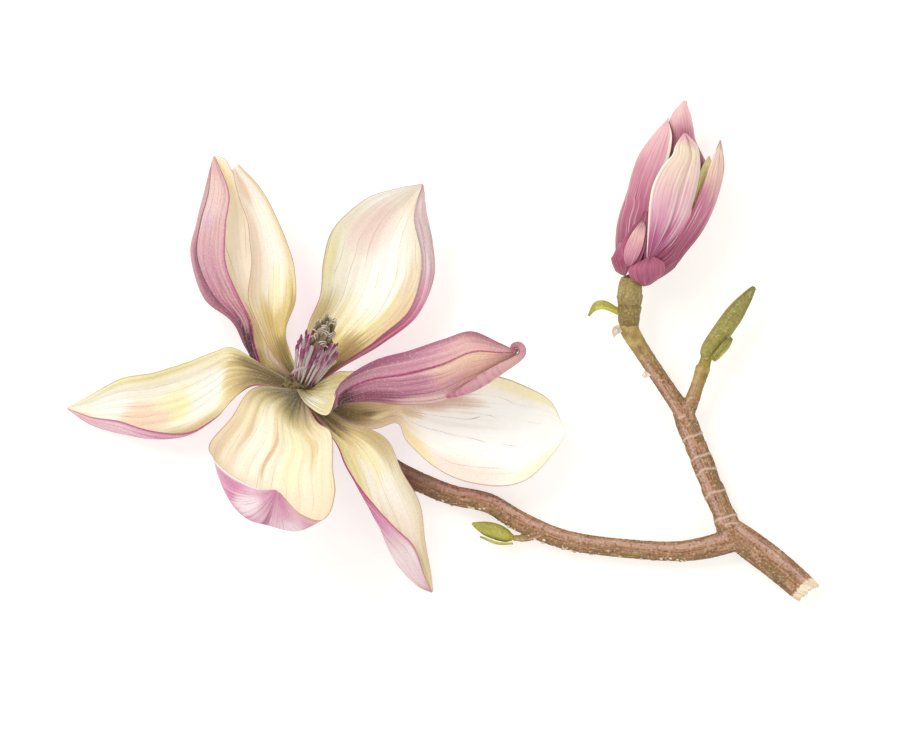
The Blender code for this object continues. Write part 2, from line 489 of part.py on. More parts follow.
def main():
    for old in list(bpy.data.objects):
        bpy.data.objects.remove(old)
    tepals = {
        "tepal_left": TEPAL_LEFT,
        "tepal_front": TEPAL_FRONT,
        "tepal_front_right": TEPAL_FRONT_RIGHT,
        "tepal_right": TEPAL_RIGHT,
        "tepal_folded": TEPAL_FOLDED,
        "tepal_upper_right": TEPAL_UPPER_RIGHT,
        "tepal_upper_middle": TEPAL_UPPER_MIDDLE,
        "tepal_upper_left": TEPAL_UPPER_LEFT,
    }
    groups = {
        "bark": [build_branch()],
        "petal": [
            sheet(name, sheet_grid(rails, ALONG, ACROSS), TEPAL_THICKNESS, edge=0.55)
            for name, rails in tepals.items()
        ],
        "carpel": [build_gynoecium()],
        "stamen": [build_stamens()],
        "bud_petal": [
            *[build_bud_tepal(name, stations) for name, stations in BUD_TEPALS.items()],
            build_bud_core(),
        ],
        "green": build_small_parts(),
    }
    looks = {
        "bark": ((0.22, 0.11, 0.07), 0.8),
        "petal": ((0.86, 0.72, 0.55), 0.55),
        "carpel": ((0.35, 0.31, 0.20), 0.7),
        "stamen": ((0.48, 0.10, 0.24), 0.6),
        "bud_petal": ((0.48, 0.16, 0.26), 0.55),
        "green": ((0.42, 0.40, 0.10), 0.6),
    }
    pieces = []
    for slot, members in groups.items():
        for piece in members:
            give_material(piece, slot, *looks[slot])
            pieces.append(piece)
    rest_on_table(pieces)


main()
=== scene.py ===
import math

import bpy
import numpy as np
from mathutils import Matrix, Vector, noise


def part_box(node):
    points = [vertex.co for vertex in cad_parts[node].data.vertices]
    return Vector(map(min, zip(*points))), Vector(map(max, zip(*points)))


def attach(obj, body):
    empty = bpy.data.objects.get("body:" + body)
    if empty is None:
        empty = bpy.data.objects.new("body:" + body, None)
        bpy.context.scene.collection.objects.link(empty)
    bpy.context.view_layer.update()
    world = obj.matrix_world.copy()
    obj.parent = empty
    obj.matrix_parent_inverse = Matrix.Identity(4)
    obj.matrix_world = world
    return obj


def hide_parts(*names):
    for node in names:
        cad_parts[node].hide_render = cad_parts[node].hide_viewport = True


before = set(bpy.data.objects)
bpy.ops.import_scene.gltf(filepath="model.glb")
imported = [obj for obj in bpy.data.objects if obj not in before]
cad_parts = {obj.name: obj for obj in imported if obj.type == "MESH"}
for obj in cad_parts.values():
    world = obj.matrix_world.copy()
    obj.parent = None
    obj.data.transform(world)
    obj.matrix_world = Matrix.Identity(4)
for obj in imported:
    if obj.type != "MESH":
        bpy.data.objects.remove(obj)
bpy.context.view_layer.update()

MM = 0.001

# ---------------------------------------------------------------- shapes, in millimetres
# They are laid out on the CAD part's own board: the flower's heart is near x = 0, y = 0 and the table is
# at z = 0. BOARD_SHIFT, worked out below from the CAD nodes, carries them into the model's frame.

HEART = np.array((-0.5, 0.5, 24.5))
FLOWER_AXIS = np.array((0.30, 0.76, 0.57)) / math.sqrt(0.30**2 + 0.76**2 + 0.57**2)

# The twig's centre lines as (x, y, z, radius).
FLOWER_TWIG = [
    (-0.6, 0.3, 24.3, 3.0), (-1.5, -1.9, 22.6, 3.3), (-1.8, -5, 19.6, 3.4), (2.6, -9.4, 15, 3.3),
    (11, -15, 11.5, 3.4), (20.5, -22, 9.4, 3.5), (29.5, -28.6, 8.6, 3.55), (38, -33.5, 8.2, 3.6),
    (52, -39.4, 7.6, 3.6), (66, -42.6, 7, 3.6), (77, -49, 6.5, 3.7), (91, -55, 6.2, 3.5),
    (106, -58, 6, 3.4), (130, -60, 6, 3.5), (143, -59, 6.2, 4.0), (156, -55.5, 6.4, 4.4),
]
MAIN_STEM = [(151.5, -51, 6.5, 4.5), (160, -57.4, 6.3, 5.3), (170, -65, 5.7, 5.3), (180.7, -74.2, 5.3, 5.0)]
BUD_SHOOT = [
    (153.5, -54, 6.5, 4.6), (151.4, -47.6, 6.8, 4.3), (150.4, -45.2, 6.9, 3.8), (147, -37.4, 7.3, 4.1),
    (146.3, -35.6, 7.4, 3.7), (143.2, -27.6, 7.9, 4.1), (142.6, -26, 8, 3.7), (141, -22.2, 8.3, 4.0),
    (140.4, -20.6, 8.4, 3.7), (138.4, -15.8, 8.8, 4.0), (137.2, -12.6, 9, 3.9), (135.6, -8.6, 9.5, 3.4),
]
BUD_ARM = [
    (137.4, -12, 9, 3.4), (134, -6.5, 9.7, 3.1), (127.6, 3, 10.6, 2.9), (121, 13, 12, 3.0),
    (117.2, 19.4, 12.5, 3.4),
]
LEAF_ARM = [(136.4, -13, 9, 3.0), (139.3, -6, 9.6, 2.7), (141.3, -0.5, 10.3, 2.4), (143.6, 6.6, 11, 2.7)]
SIDE_BUD_STALK = [(84, -54, 6.2, 1.6), (79, -55.3, 6.2, 1.3), (75.2, -55.2, 6.2, 1.1)]

# Tepals of the open flower, named by where they point as the branch lies.
TEPAL_LEFT = [
    [(-5.6, -2.4, 23.2), (-18, 0.2, 22.4), (-26.2, -5.1, 20.9), (-32, -11.6, 18.8), (-42.5, -17, 17.2),
     (-55.5, -16.4, 14.5), (-67, -13, 10.5), (-78, -11.2, 6), (-86, -8.4, 1.4)],
    [(-6, -1.5, 22.6), (-18.3, -0.2, 21.4), (-26.5, -5.6, 20), (-32.6, -12.3, 18), (-42.5, -18.2, 15.5),
     (-55, -19.4, 12), (-67, -17.4, 8), (-78, -13.8, 4.2), (-86, -8.6, 1)],
    [(-6, -0.8, 22.2), (-18, 1.6, 20.6), (-27, -3, 18.6), (-32.5, -8, 16.5), (-42.5, -13, 13.5),
     (-55, -15, 10.4), (-67, -13.5, 7), (-78, -11, 3.8), (-86, -8.5, 1)],
    [(-5.8, 0.2, 21.8), (-17.5, 3.5, 20), (-27, 2, 18), (-33, -1.5, 16), (-43, -5.5, 13.3),
     (-55, -8.5, 10.3), (-67, -8.5, 7.3), (-78, -8.8, 4), (-86, -8.4, 1.1)],
    [(-5.8, 1, 21.6), (-17, 6, 20.6), (-27, 7.5, 19), (-33, 5, 17), (-43, 1.5, 14.5),
     (-55, -2, 11.5), (-67, -3.5, 8.5), (-78, -6.5, 4.8), (-86, -8.3, 1.2)],
    [(-5.8, 2, 21.4), (-17, 8.5, 22.4), (-26, 13.5, 22), (-33, 11.8, 20.5), (-43, 8, 18.5),
     (-55, 4.5, 16), (-67, 2, 12), (-78, -4, 6.5), (-86, -8.2, 1.4)],
]
TEPAL_FRONT = [
    [(0, -5.2, 28.2), (4.4, -13, 31.2), (9.6, -17.2, 37), (10.2, -29, 44), (10.8, -39, 51),
     (7, -47.7, 58), (-1.5, -45.8, 64.5), (-8.6, -38.2, 69)],
    [(-1, -4.4, 28.2), (0.3, -13, 31), (1.5, -23, 35), (1.5, -33, 38), (0.5, -43.5, 43),
     (-2, -52, 51), (-4.5, -48.5, 60.5), (-9, -38, 69)],
    [(-1.8, -3.2, 28.2), (-6, -12, 31), (-8.5, -22, 34), (-10.5, -32, 37), (-12, -42, 42),
     (-12.5, -50, 50), (-11, -47, 60), (-9.3, -37.6, 69)],
    [(-2.9, -2.4, 27.9), (-12, -7, 29.5), (-17, -17.5, 33), (-21, -28, 37), (-22.5, -38, 42.5),
     (-20.5, -47.3, 51), (-16.5, -44.5, 61), (-9.5, -37.5, 69)],
    [(-3.9, -1.8, 27.5), (-16, -3.8, 29), (-23, -14, 34.5), (-28.8, -24.5, 40.5), (-30, -33.8, 46.5),
     (-25.5, -41.8, 54), (-17.5, -41, 62.5), (-9.7, -37.4, 69)],
    [(-4.8, -1.2, 27), (-18.5, -1, 29), (-26.3, -11.8, 36), (-33.6, -20.5, 44), (-32.4, -26.3, 52),
     (-25.5, -32.2, 60.5), (-17, -36.5, 66), (-10, -37.3, 69)],
]
TEPAL_FRONT_RIGHT = [
    [(4.2, -5.6, 22.6), (14, -13, 24.4), (24, -16, 27), (30.5, -20.7, 27), (35, -31, 24),
     (41.4, -42.5, 18.5), (43.3, -56, 12), (45.5, -68, 5), (46, -74.6, 1.2)],
    [(3.5, -6.2, 22.4), (12, -14.5, 23.6), (21, -19.5, 25), (27, -25.5, 24.5), (31.5, -35, 21.5),
     (37.5, -46, 16), (40.5, -58.5, 9.5), (44.5, -69, 3.8), (45.9, -74.7, 1)],
    [(2.8, -6.9, 22.5), (10.5, -15.5, 23.2), (18, -22, 24), (23, -29.5, 23.5), (27.5, -38.5, 20.5),
     (33.5, -49.5, 14.8), (38, -60.5, 8.3), (43.6, -69.8, 3.2), (45.8, -74.8, 0.9)],
    [(2.1, -7.4, 22.8), (9.3, -16.2, 23.5), (14, -22.4, 24.2), (17.6, -30.4, 23.4), (23, -41, 20),
     (29.5, -52.5, 14), (35.5, -62.5, 7.8), (42.2, -70.8, 3), (45.7, -74.8, 0.9)],
    [(1.5, -7.7, 23.3), (8.4, -16.6, 24.4), (11.7, -22.2, 25), (14.8, -29.6, 24.4), (20, -39, 21.4),
     (26.5, -50.5, 16), (32.2, -62.8, 9), (39.8, -71.8, 3.6), (45.6, -74.9, 1)],
    [(1.2, -7.7, 24.3), (8.6, -16.5, 25.2), (12, -22, 25.9), (15.3, -29.3, 25.3), (21.2, -38.6, 22.7),
     (31.4, -50.4, 18.8), (39.3, -58.4, 12.5), (43.1, -68.8, 5.4), (45.7, -74.6, 1.4)],
]
TEPAL_RIGHT = [
    [(4.2, -2.6, 20.2), (16, -6, 21), (25, -5, 20.5), (33, -3, 20), (38, -0.5, 20), (47, 2.5, 20),
     (57, 4, 20), (67, 3.5, 19.6), (77.5, 0.4, 19), (88, -5.4, 16.5), (93, -14.5, 13)],
    [(3.8, -3.5, 20), (16, -8, 19.5), (25, -8.3, 18.4), (33, -7, 17), (38.5, -7, 16), (48, -6, 15.3),
     (58, -5.2, 15), (68, -5.3, 14.8), (78, -7.3, 14.5), (88.6, -11, 13.5), (93.6, -16, 12.6)],
    [(3.4, -4.4, 20.1), (15.8, -10.3, 19.2), (25, -11.3, 17.6), (33.3, -10.3, 15.8), (39, -12.2, 14.6),
     (49, -13.6, 13.2), (60, -15, 12.7), (70, -16, 12.5), (80, -16.5, 12.4), (89, -16.2, 12.5),
     (94, -17, 12.5)],
    [(3.2, -5.1, 20.4), (15.3, -12.2, 19.8), (24.8, -13.8, 18.6), (33.2, -12.3, 17), (38.3, -17, 16),
     (48.5, -22.3, 15), (59.5, -26, 14.3), (70, -27.2, 14), (80, -25.5, 13.6), (89.5, -20.7, 13),
     (93.7, -17.8, 12.7)],
    [(3.2, -5.7, 20.9), (14.8, -13.8, 21.2), (24.5, -15.9, 20.2), (33, -13.9, 19.4), (37, -20.5, 19.6),
     (46.5, -29.6, 19.4), (58, -34.8, 19), (70, -36.3, 18.2), (80.5, -33.8, 16.8), (89, -25.2, 14.5),
     (93.3, -18.8, 13)],
]
TEPAL_FOLDED = [
    [(2.6, -1.2, 28.5), (7.2, 2.4, 26.5), (12, 4.8, 27.5), (18, 5, 28), (27, 8, 29), (38, 10.5, 30),
     (49, 14, 31.5), (60, 17, 34), (70, 13.5, 37), (75.2, 12.1, 40.6)],
    [(1.2, -1.6, 28.9), (5.4, -1.8, 27.2), (11, -1.5, 26.6), (17, 0, 26.5), (26, 2, 26.5), (37, 3.5, 27),
     (49, 6, 28.5), (61, 10, 31), (70.5, 10.5, 35), (75.8, 11.6, 40)],
    [(-0.2, -1.7, 29.3), (3.4, -5, 29.2), (9.6, -7.2, 28.4), (15, -6.4, 28.8), (24, -5.8, 29.5),
     (36, -7, 31), (48.8, -6, 33), (60, -1, 35), (70, 5.2, 37.6), (76.3, 10.8, 40.6)],
    [(-1.4, -1.5, 29.6), (1.9, -6.2, 29.8), (9.2, -9.2, 30.2), (13.2, -4.6, 32.6), (23, -3, 35),
     (36, -3, 38), (48, -1.5, 40), (59, 3.5, 41), (69, 8, 41.5), (76.2, 11.3, 42)],
    [(-2.2, -1.6, 29.9), (1.2, -6.8, 30.6), (8.8, -10.1, 31.5), (11.8, -1.5, 34), (23, 3, 38),
     (36, 4, 41.5), (49, 6, 43), (60, 10.5, 43.5), (70, 11.5, 42.8), (75.9, 11.9, 42.8)],
    [(-3, -1.6, 30.2), (0.8, -7, 31.4), (8.4, -10.6, 32.5), (13.5, 1, 34.6), (25, 8.8, 37.4),
     (38, 12.5, 39.8), (50, 16.5, 41), (60, 19.3, 41), (70, 15.2, 41.6), (75.6, 12.4, 43.2)],
]
TEPAL_UPPER_RIGHT = [
    [(0.8, 2.6, 20.6), (0.5, 12, 21), (1, 21, 22), (5.5, 32, 23), (6.8, 45, 24.5), (10.5, 56.5, 26),
     (21, 66.4, 27), (32, 70.2, 27.6), (42.2, 72.3, 28)],
    [(1.3, 1.8, 20), (3.5, 12, 18), (6, 21, 17.5), (11, 32, 17), (14.5, 44, 18), (18, 54.5, 20),
     (27, 64, 22.5), (35.5, 69, 25), (42.3, 72.3, 27.8)],
    [(2, 0.9, 19.8), (7, 11, 16.5), (12, 20, 15), (18, 31, 13.5), (23, 42, 13.5), (27.5, 52, 15),
     (32.5, 61, 18), (37.5, 67, 22), (42.4, 72.2, 27.6)],
    [(2.8, 0.1, 19.8), (10.5, 9.5, 17), (19, 16.5, 16), (28, 26, 14.5), (34, 38, 14.5), (36.5, 49, 16),
     (38, 58, 19), (40, 65.5, 22.5), (42.4, 72.1, 27.4)],
    [(3.6, -0.6, 20), (13.5, 6.8, 18.2), (26.5, 14.6, 17.8), (39.5, 24.5, 17), (46.2, 38, 17.5),
     (45.8, 51, 19), (43.8, 61, 21.5), (42.9, 67.5, 24), (42.5, 72, 27.5)],
    [(4.2, 0.2, 20.8), (14, 8.5, 20.5), (26, 17, 20.8), (37.5, 27, 21), (42, 42, 22), (40.5, 53.5, 23),
     (39, 60, 24.5), (40.6, 67.5, 26), (42.4, 72.2, 28.2)],
]
TEPAL_UPPER_MIDDLE = [
    [(-4, 1.2, 21), (-11.5, 10.5, 21.2), (-16, 20, 22), (-20.2, 31, 23.5), (-19.3, 45, 25),
     (-20.3, 57, 26.5), (-24, 69, 28.5), (-26, 77.3, 31)],
    [(-3.3, 1.6, 20.3), (-9.5, 11, 18.4), (-13, 20.5, 17.5), (-16, 31.5, 17.5), (-15.8, 44.5, 18.5),
     (-17, 57, 20.5), (-21, 69, 24.5), (-25.5, 78, 30)],
    [(-2.5, 1.8, 19.9), (-8, 11, 17), (-10.5, 20.5, 15.5), (-12, 31.5, 15), (-12, 44.5, 15.8),
     (-13.5, 57, 18.3), (-18.8, 69, 23), (-25, 78.6, 29.5)],
    [(-1.7, 2, 19.8), (-6.5, 11, 17.4), (-8.3, 20.5, 16.3), (-8, 31, 16.5), (-8, 44, 17.3),
     (-10, 56.5, 19.8), (-17, 69.5, 24), (-24.5, 79, 29.8)],
    [(-0.9, 2.2, 20), (-5.3, 10.5, 19), (-6.8, 20, 19), (-3.5, 30, 20), (-4, 43.5, 21),
     (-8.5, 56.5, 22.5), (-15.5, 70, 25.5), (-23.8, 79.4, 30.5)],
]
TEPAL_UPPER_LEFT = [
    [(-5.2, -0.2, 20), (-14, 3.6, 18.8), (-17.6, 13.6, 19.8), (-19.3, 23, 21.5), (-24, 32.5, 22.5),
     (-28.4, 44, 23.5), (-28.4, 57, 25), (-27.2, 69, 27), (-32, 81.6, 27)],
    [(-5.2, 0.2, 19.6), (-15.5, 5, 18), (-19.4, 13.5, 19), (-24, 23.6, 20.4), (-32.6, 32.4, 21.6),
     (-37.2, 45.5, 22), (-36.6, 58, 23), (-33.6, 70, 25), (-32.3, 81.9, 26.6)],
    [(-5, 0.7, 19.2), (-16.6, 6, 16.8), (-21, 13, 16.5), (-26.6, 23.3, 16.6), (-36.2, 31.6, 16.2),
     (-41, 47, 16), (-39, 58.5, 17.8), (-36.2, 70, 20.5), (-32.7, 82.3, 26)],
    [(-4.7, 1.1, 18.9), (-15.6, 7, 15.4), (-19, 15, 14.2), (-23, 24.5, 13.6), (-31.5, 33, 13.2),
     (-36, 45.5, 13.2), (-35, 58, 15), (-33.5, 70.5, 18.6), (-32.3, 82.4, 25.6)],
    [(-4.3, 1.5, 18.7), (-13.5, 8.5, 14.8), (-15.5, 17, 13.6), (-18.4, 27, 13.4), (-24.4, 36, 13.8),
     (-28.4, 47, 14.6), (-28.4, 59, 16.6), (-29.4, 71, 19.8), (-31, 82.2, 25.6)],
    [(-3.9, 1.9, 18.6), (-11, 9.5, 14.5), (-12.5, 18, 13), (-14.4, 28, 13.6), (-17.6, 38, 14.6),
     (-19, 49, 15.6), (-20.8, 61, 18.2), (-24, 72.5, 22), (-28.4, 81.2, 26.4)],
]

# The flower bud's centre line, as (x, y, z, radius).
BUD_LINE = [
    (117.4, 38, 13.6, 4.6), (120, 43, 13.8, 9.0), (123.6, 50, 14, 12.4), (127.2, 57.5, 14.2, 14.0),
    (130.6, 65, 14.4, 14.5), (132.6, 72.5, 14.5, 14.4), (134, 80, 14.6, 13.2), (135.4, 88, 14.8, 9.6),
    (136.6, 96, 15, 4.6), (136.9, 102, 15.2, 1.2),
]

TEPALS = {
    "tepal_left": TEPAL_LEFT,
    "tepal_front": TEPAL_FRONT,
    "tepal_front_right": TEPAL_FRONT_RIGHT,
    "tepal_right": TEPAL_RIGHT,
    "tepal_folded": TEPAL_FOLDED,
    "tepal_upper_right": TEPAL_UPPER_RIGHT,
    "tepal_upper_middle": TEPAL_UPPER_MIDDLE,
    "tepal_upper_left": TEPAL_UPPER_LEFT,
}


def catmull_rom(points, parameters):
    """Smooth curve through points spaced one apart, at many parameters at once."""
    points = np.asarray(points, float)
    last = len(points) - 1
    index = np.clip(np.floor(parameters).astype(int), 0, last - 1)
    t = (parameters - index)[:, None]
    padded = np.concatenate([[2 * points[0] - points[1]], points, [2 * points[-1] - points[-2]]])
    p0, p1, p2, p3 = (padded[index + k] for k in range(4))
    return 0.5 * (
        2 * p1 + (p2 - p0) * t + (2 * p0 - 5 * p1 + 4 * p2 - p3) * t**2 + (3 * p1 - p0 - 3 * p2 + p3) * t**3
    )


def run_along(line):
    """The distance along a sampled line at each of its points."""
    return np.concatenate([[0], np.cumsum(np.linalg.norm(np.diff(line[:, :3], axis=0), axis=1))])


def headings(line):
    """Unit vectors along a sampled line."""
    ahead = np.gradient(line, axis=0)
    return ahead / np.maximum(np.linalg.norm(ahead, axis=1, keepdims=True), 1e-9)


def even_curve(points, count):
    """Points evenly spaced along the smooth curve through these."""
    fine = catmull_rom(points, np.linspace(0, len(points) - 1, 12 * (len(points) - 1) + 1))
    run = run_along(fine)
    goals = np.linspace(0, run[-1], count)
    return np.stack([np.interp(goals, run, fine[:, axis]) for axis in range(fine.shape[1])], axis=1)


def sheet_grid(rails, along, across):
    last = len(rails[0]) - 1
    stations = np.stack([catmull_rom(rail, np.linspace(0, last, along)) for rail in rails], axis=1)
    return np.stack([even_curve(row, across) for row in stations])


def sheet_uv(rows, columns):
    """u from -1 to 1 across a sheet, as one row, and v from 0 to 1 along it, as one column."""
    return np.linspace(-1, 1, columns)[None, :], np.linspace(0, 1, rows)[:, None]


def grid_normals(grid):
    along = np.gradient(grid, axis=0)
    across = np.gradient(grid, axis=1)
    normals = np.cross(across, along)
    return normals / np.maximum(np.linalg.norm(normals, axis=2, keepdims=True), 1e-9)


def board_shift():
    """From the board to the model's frame: where the CAD has the tepals, less where the tables do."""
    shifts = []
    for name, rails in TEPALS.items():
        low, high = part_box(name)
        grid = sheet_grid(rails, 17, 11).reshape(-1, 3)
        middle = (np.array(low) + np.array(high)) / 2 / MM
        shifts.append(middle - (grid.min(axis=0) + grid.max(axis=0)) / 2)
    return np.median(shifts, axis=0)


BOARD_SHIFT = board_shift()


# ---------------------------------------------------------------- mesh helpers


class Shape:
    """Points, faces and per-point values that become one mesh."""

    def __init__(self, points, faces, values=None, face_materials=None):
        self.points = np.asarray(points, float)
        self.faces = [tuple(face) for face in faces]
        self.values = values or {}
        self.face_materials = face_materials

    @staticmethod
    def joined(shapes):
        points, faces, offset = [], [], 0
        for shape in shapes:
            points.append(shape.points)
            faces += [tuple(corner + offset for corner in face) for face in shape.faces]
            offset += len(shape.points)
        values = {key: np.concatenate([shape.values[key] for shape in shapes]) for key in shapes[0].values}
        materials = None
        if shapes[0].face_materials is not None:
            materials = np.concatenate([shape.face_materials for shape in shapes])
        return Shape(np.concatenate(points), faces, values, materials)


def add_piece(name, shape, materials, nodes=()):
    mesh = bpy.data.meshes.new(name)
    mesh.from_pydata(((shape.points + BOARD_SHIFT) * MM).tolist(), [], shape.faces)
    mesh.shade_smooth()
    for key, data in shape.values.items():
        mesh.attributes.new(key, "FLOAT", "POINT").data.foreach_set("value", np.asarray(data, np.float32))
    for material in materials:
        mesh.materials.append(material)
    if shape.face_materials is not None:
        mesh.polygons.foreach_set("material_index", np.asarray(shape.face_materials, np.int32))
    piece = bpy.data.objects.new(name, mesh)
    bpy.context.collection.objects.link(piece)
    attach(piece, "root")
    if nodes:
        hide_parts(*nodes)
    return piece


def smooth_noise(x, y, z=0.0):
    """Blender's smooth noise over arrays, from about -1 to 1."""
    x, y, z = np.broadcast_arrays(x, y, z)
    flat = [noise.noise(Vector((a, b, c))) for a, b, c in zip(x.ravel(), y.ravel(), z.ravel())]
    return np.array(flat).reshape(x.shape)


def smoothstep(low, high, value):
    t = np.clip((value - low) / (high - low), 0, 1)
    return t * t * (3 - 2 * t)


def closed_sheet(grid, thickness, rim_inside=False):
    """A thin closed solid round a grid. Material 0 is its inner face and 1 its outer face."""
    rows, columns = grid.shape[:2]
    u, v = np.broadcast_arrays(*sheet_uv(rows, columns))
    half = thickness / 2 * (1 - 0.6 * np.abs(u) ** 6)[..., None]
    normals = grid_normals(grid)
    points = np.concatenate([(grid + side * normals * half).reshape(-1, 3) for side in (1, -1)])
    index = np.arange(rows * columns).reshape(rows, columns)
    a, b, c, d = index[:-1, :-1], index[:-1, 1:], index[1:, 1:], index[1:, :-1]
    inner = np.stack([a, b, c, d], axis=-1).reshape(-1, 4)
    outer = inner[:, ::-1] + rows * columns
    rim = np.concatenate([index[0, :-1], index[:-1, -1], index[-1, :0:-1], index[:0:-1, 0]])
    after = np.roll(rim, -1)
    edge = np.stack([after, rim, rim + rows * columns, after + rows * columns], axis=1)
    faces = np.concatenate([inner, outer, edge]).tolist()
    materials = np.concatenate(
        [np.zeros(len(inner)), np.ones(len(outer)), np.full(len(edge), 0 if rim_inside else 1)]
    )
    values = {"petal_u": np.tile(u.ravel(), 2), "petal_v": np.tile(v.ravel(), 2)}
    return Shape(points, faces, values, materials)


def tube(stations, sides=10, steps=4, flatness=1.0, roundness=0.5, values=None):
    """A rod through (x, y, z, radius) stations. Its values hold tube_v, from 0 to 1 along it."""
    samples = catmull_rom(stations, np.linspace(0, len(stations) - 1, steps * (len(stations) - 1) + 1))
    centres, radii = samples[:, :3], np.maximum(samples[:, 3], 0.02)
    ahead = headings(centres)
    side = np.cross(ahead[0], (0, 0, 1) if abs(ahead[0][2]) < 0.95 else (1, 0, 0))
    turn = np.linspace(0, 2 * math.pi, sides, endpoint=False)
    rings = []
    for centre, radius, direction in zip(centres, radii, ahead):
        side = side - direction * side.dot(direction)
        side /= np.linalg.norm(side)
        up = np.cross(direction, side)
        rings.append(
            centre + radius * (np.cos(turn)[:, None] * side + flatness * np.sin(turn)[:, None] * up)
        )
    first = centres[0] - ahead[0] * radii[0] * roundness
    last = centres[-1] + ahead[-1] * radii[-1] * roundness
    points = np.concatenate([*rings, [first, last]])
    count = len(centres)
    index = np.arange(count * sides).reshape(count, sides)
    a, b = index[:-1], np.roll(index[:-1], -1, axis=1)
    c, d = np.roll(index[1:], -1, axis=1), index[1:]
    faces = np.stack([a, b, c, d], axis=-1).reshape(-1, 4).tolist()
    faces += [(len(points) - 2, (k + 1) % sides, k) for k in range(sides)]
    top = (count - 1) * sides
    faces += [(len(points) - 1, top + k, top + (k + 1) % sides) for k in range(sides)]
    along = np.concatenate([np.repeat(np.linspace(0, 1, count), sides), [0, 1]])
    turns = np.concatenate([np.tile(turn, count), [0, 0]])
    held = {"tube_v": along, "tube_turn": np.sin(turns)}
    for key, value in (values or {}).items():
        held[key] = np.full(len(points), value)
    return Shape(points, faces, held)


# ---------------------------------------------------------------- materials


def colour(code):
    """A linear colour from a hexadecimal sRGB one."""
    parts = [int(code[k : k + 2], 16) / 255 for k in (0, 2, 4)]
    return tuple(p / 12.92 if p <= 0.04045 else ((p + 0.055) / 1.055) ** 2.4 for p in parts) + (1.0,)


class Paint:
    """One Principled material, built up node by node."""

    def __init__(self, name, roughness=0.55, specular=0.3, sheen=0.0, scatter=0.0):
        self.material = bpy.data.materials.new(name)
        self.material.use_nodes = True
        self.tree = self.material.node_tree
        self.shader = self.tree.nodes["Principled BSDF"]
        settings = {
            "Roughness": roughness,
            "Specular IOR Level": specular,
            "Sheen Weight": sheen,
            "Subsurface Weight": scatter,
            "Subsurface Radius": (0.0012, 0.0008, 0.0005),
            "Subsurface Scale": 1.0,
        }
        for key, value in settings.items():
            self.shader.inputs[key].default_value = value

    def put(self, socket, value):
        if isinstance(value, bpy.types.NodeSocket):
            self.tree.links.new(value, socket)
        else:
            socket.default_value = value

    def value(self, name):
        node = self.tree.nodes.new("ShaderNodeAttribute")
        node.attribute_name = name
        return node.outputs["Fac"]

    def math(self, operation, a, b=0.0, c=0.0):
        node = self.tree.nodes.new("ShaderNodeMath")
        node.operation = operation
        for socket, value in zip(node.inputs, (a, b, c)):
            self.put(socket, value)
        return node.outputs[0]

    def band(self, value, low, high):
        """0 below low, 1 above high and smooth between them; reversed if low is the larger."""
        node = self.tree.nodes.new("ShaderNodeMapRange")
        node.interpolation_type = "SMOOTHSTEP"
        for socket, given in zip(node.inputs, (value, low, high, 0.0, 1.0)):
            self.put(socket, given)
        return node.outputs[0]

    def times(self, a, b):
        return self.math("MULTIPLY", a, b)

    def lumps(self, where, scale, detail):
        node = self.tree.nodes.new("ShaderNodeTexNoise")
        node.inputs["Scale"].default_value = scale
        node.inputs["Detail"].default_value = detail
        self.put(node.inputs["Vector"], where)
        return node.outputs["Fac"]

    def streaks(self, u, across, v, along, seed, detail=2.0):
        """Noise from 0 to 1 over two values, stretched by how many lumps each one holds."""
        where = self.tree.nodes.new("ShaderNodeCombineXYZ")
        for socket, value in zip(where.inputs, (self.times(u, across), self.times(v, along), seed)):
            self.put(socket, value)
        return self.lumps(where.outputs[0], 1.0, detail)

    def grain(self, scale, detail=3.0):
        """Noise from 0 to 1 over the object's own space, at so many lumps per metre."""
        where = self.tree.nodes.new("ShaderNodeTexCoord")
        return self.lumps(where.outputs["Object"], scale, detail)

    def ramp(self, value, stops):
        node = self.tree.nodes.new("ShaderNodeValToRGB")
        elements = node.color_ramp.elements
        while len(elements) < len(stops):
            elements.new(0.5)
        for element, (position, code) in zip(elements, stops):
            element.position = position
            element.color = colour(code)
        self.put(node.inputs[0], value)
        return node.outputs[0]

    def mix(self, amount, base, over):
        node = self.tree.nodes.new("ShaderNodeMix")
        node.data_type = "RGBA"
        self.put(node.inputs[0], amount)
        self.put(node.inputs[6], colour(base) if isinstance(base, str) else base)
        self.put(node.inputs[7], colour(over) if isinstance(over, str) else over)
        return node.outputs[2]

    def wash(self, amount, strength, base, over):
        return self.mix(self.times(amount, strength), base, over)

    def tints(self, base, *layers):
        """Colours over the base in turn, each as (value, low and high of its band, strength, colour)."""
        for value, low, high, strength, over in layers:
            base = self.wash(self.band(value, low, high), strength, base, over)
        return base

    def glow(self, light, strength):
        self.put(self.shader.inputs["Emission Color"], light)
        self.shader.inputs["Emission Strength"].default_value = strength

    def done(self, base, height=None, strength=0.3, distance=0.0003):
        self.put(self.shader.inputs["Base Color"], base)
        if height is not None:
            bump = self.tree.nodes.new("ShaderNodeBump")
            bump.inputs["Strength"].default_value = strength
            bump.inputs["Distance"].default_value = distance
            self.put(bump.inputs["Height"], height)
            self.tree.links.new(bump.outputs[0], self.shader.inputs["Normal"])
        return self.material


def vein_lines(paint, u, v, count, width, seed):
    """Thin lines that run along a petal and wander a little. 1 on a line, 0 off it."""
    wander = paint.streaks(u, 1.6, v, 2.4, seed)
    place = paint.math("MULTIPLY_ADD", u, count / 2, paint.times(wander, 1.6))
    off = paint.math("ABSOLUTE", paint.math("SUBTRACT", paint.math("FRACT", place), 0.5))
    line = paint.band(off, width, 0.0)
    breaks = paint.streaks(u, 5.0, v, 5.0, seed + 4)
    return paint.times(line, paint.band(breaks, 0.36, 0.56))


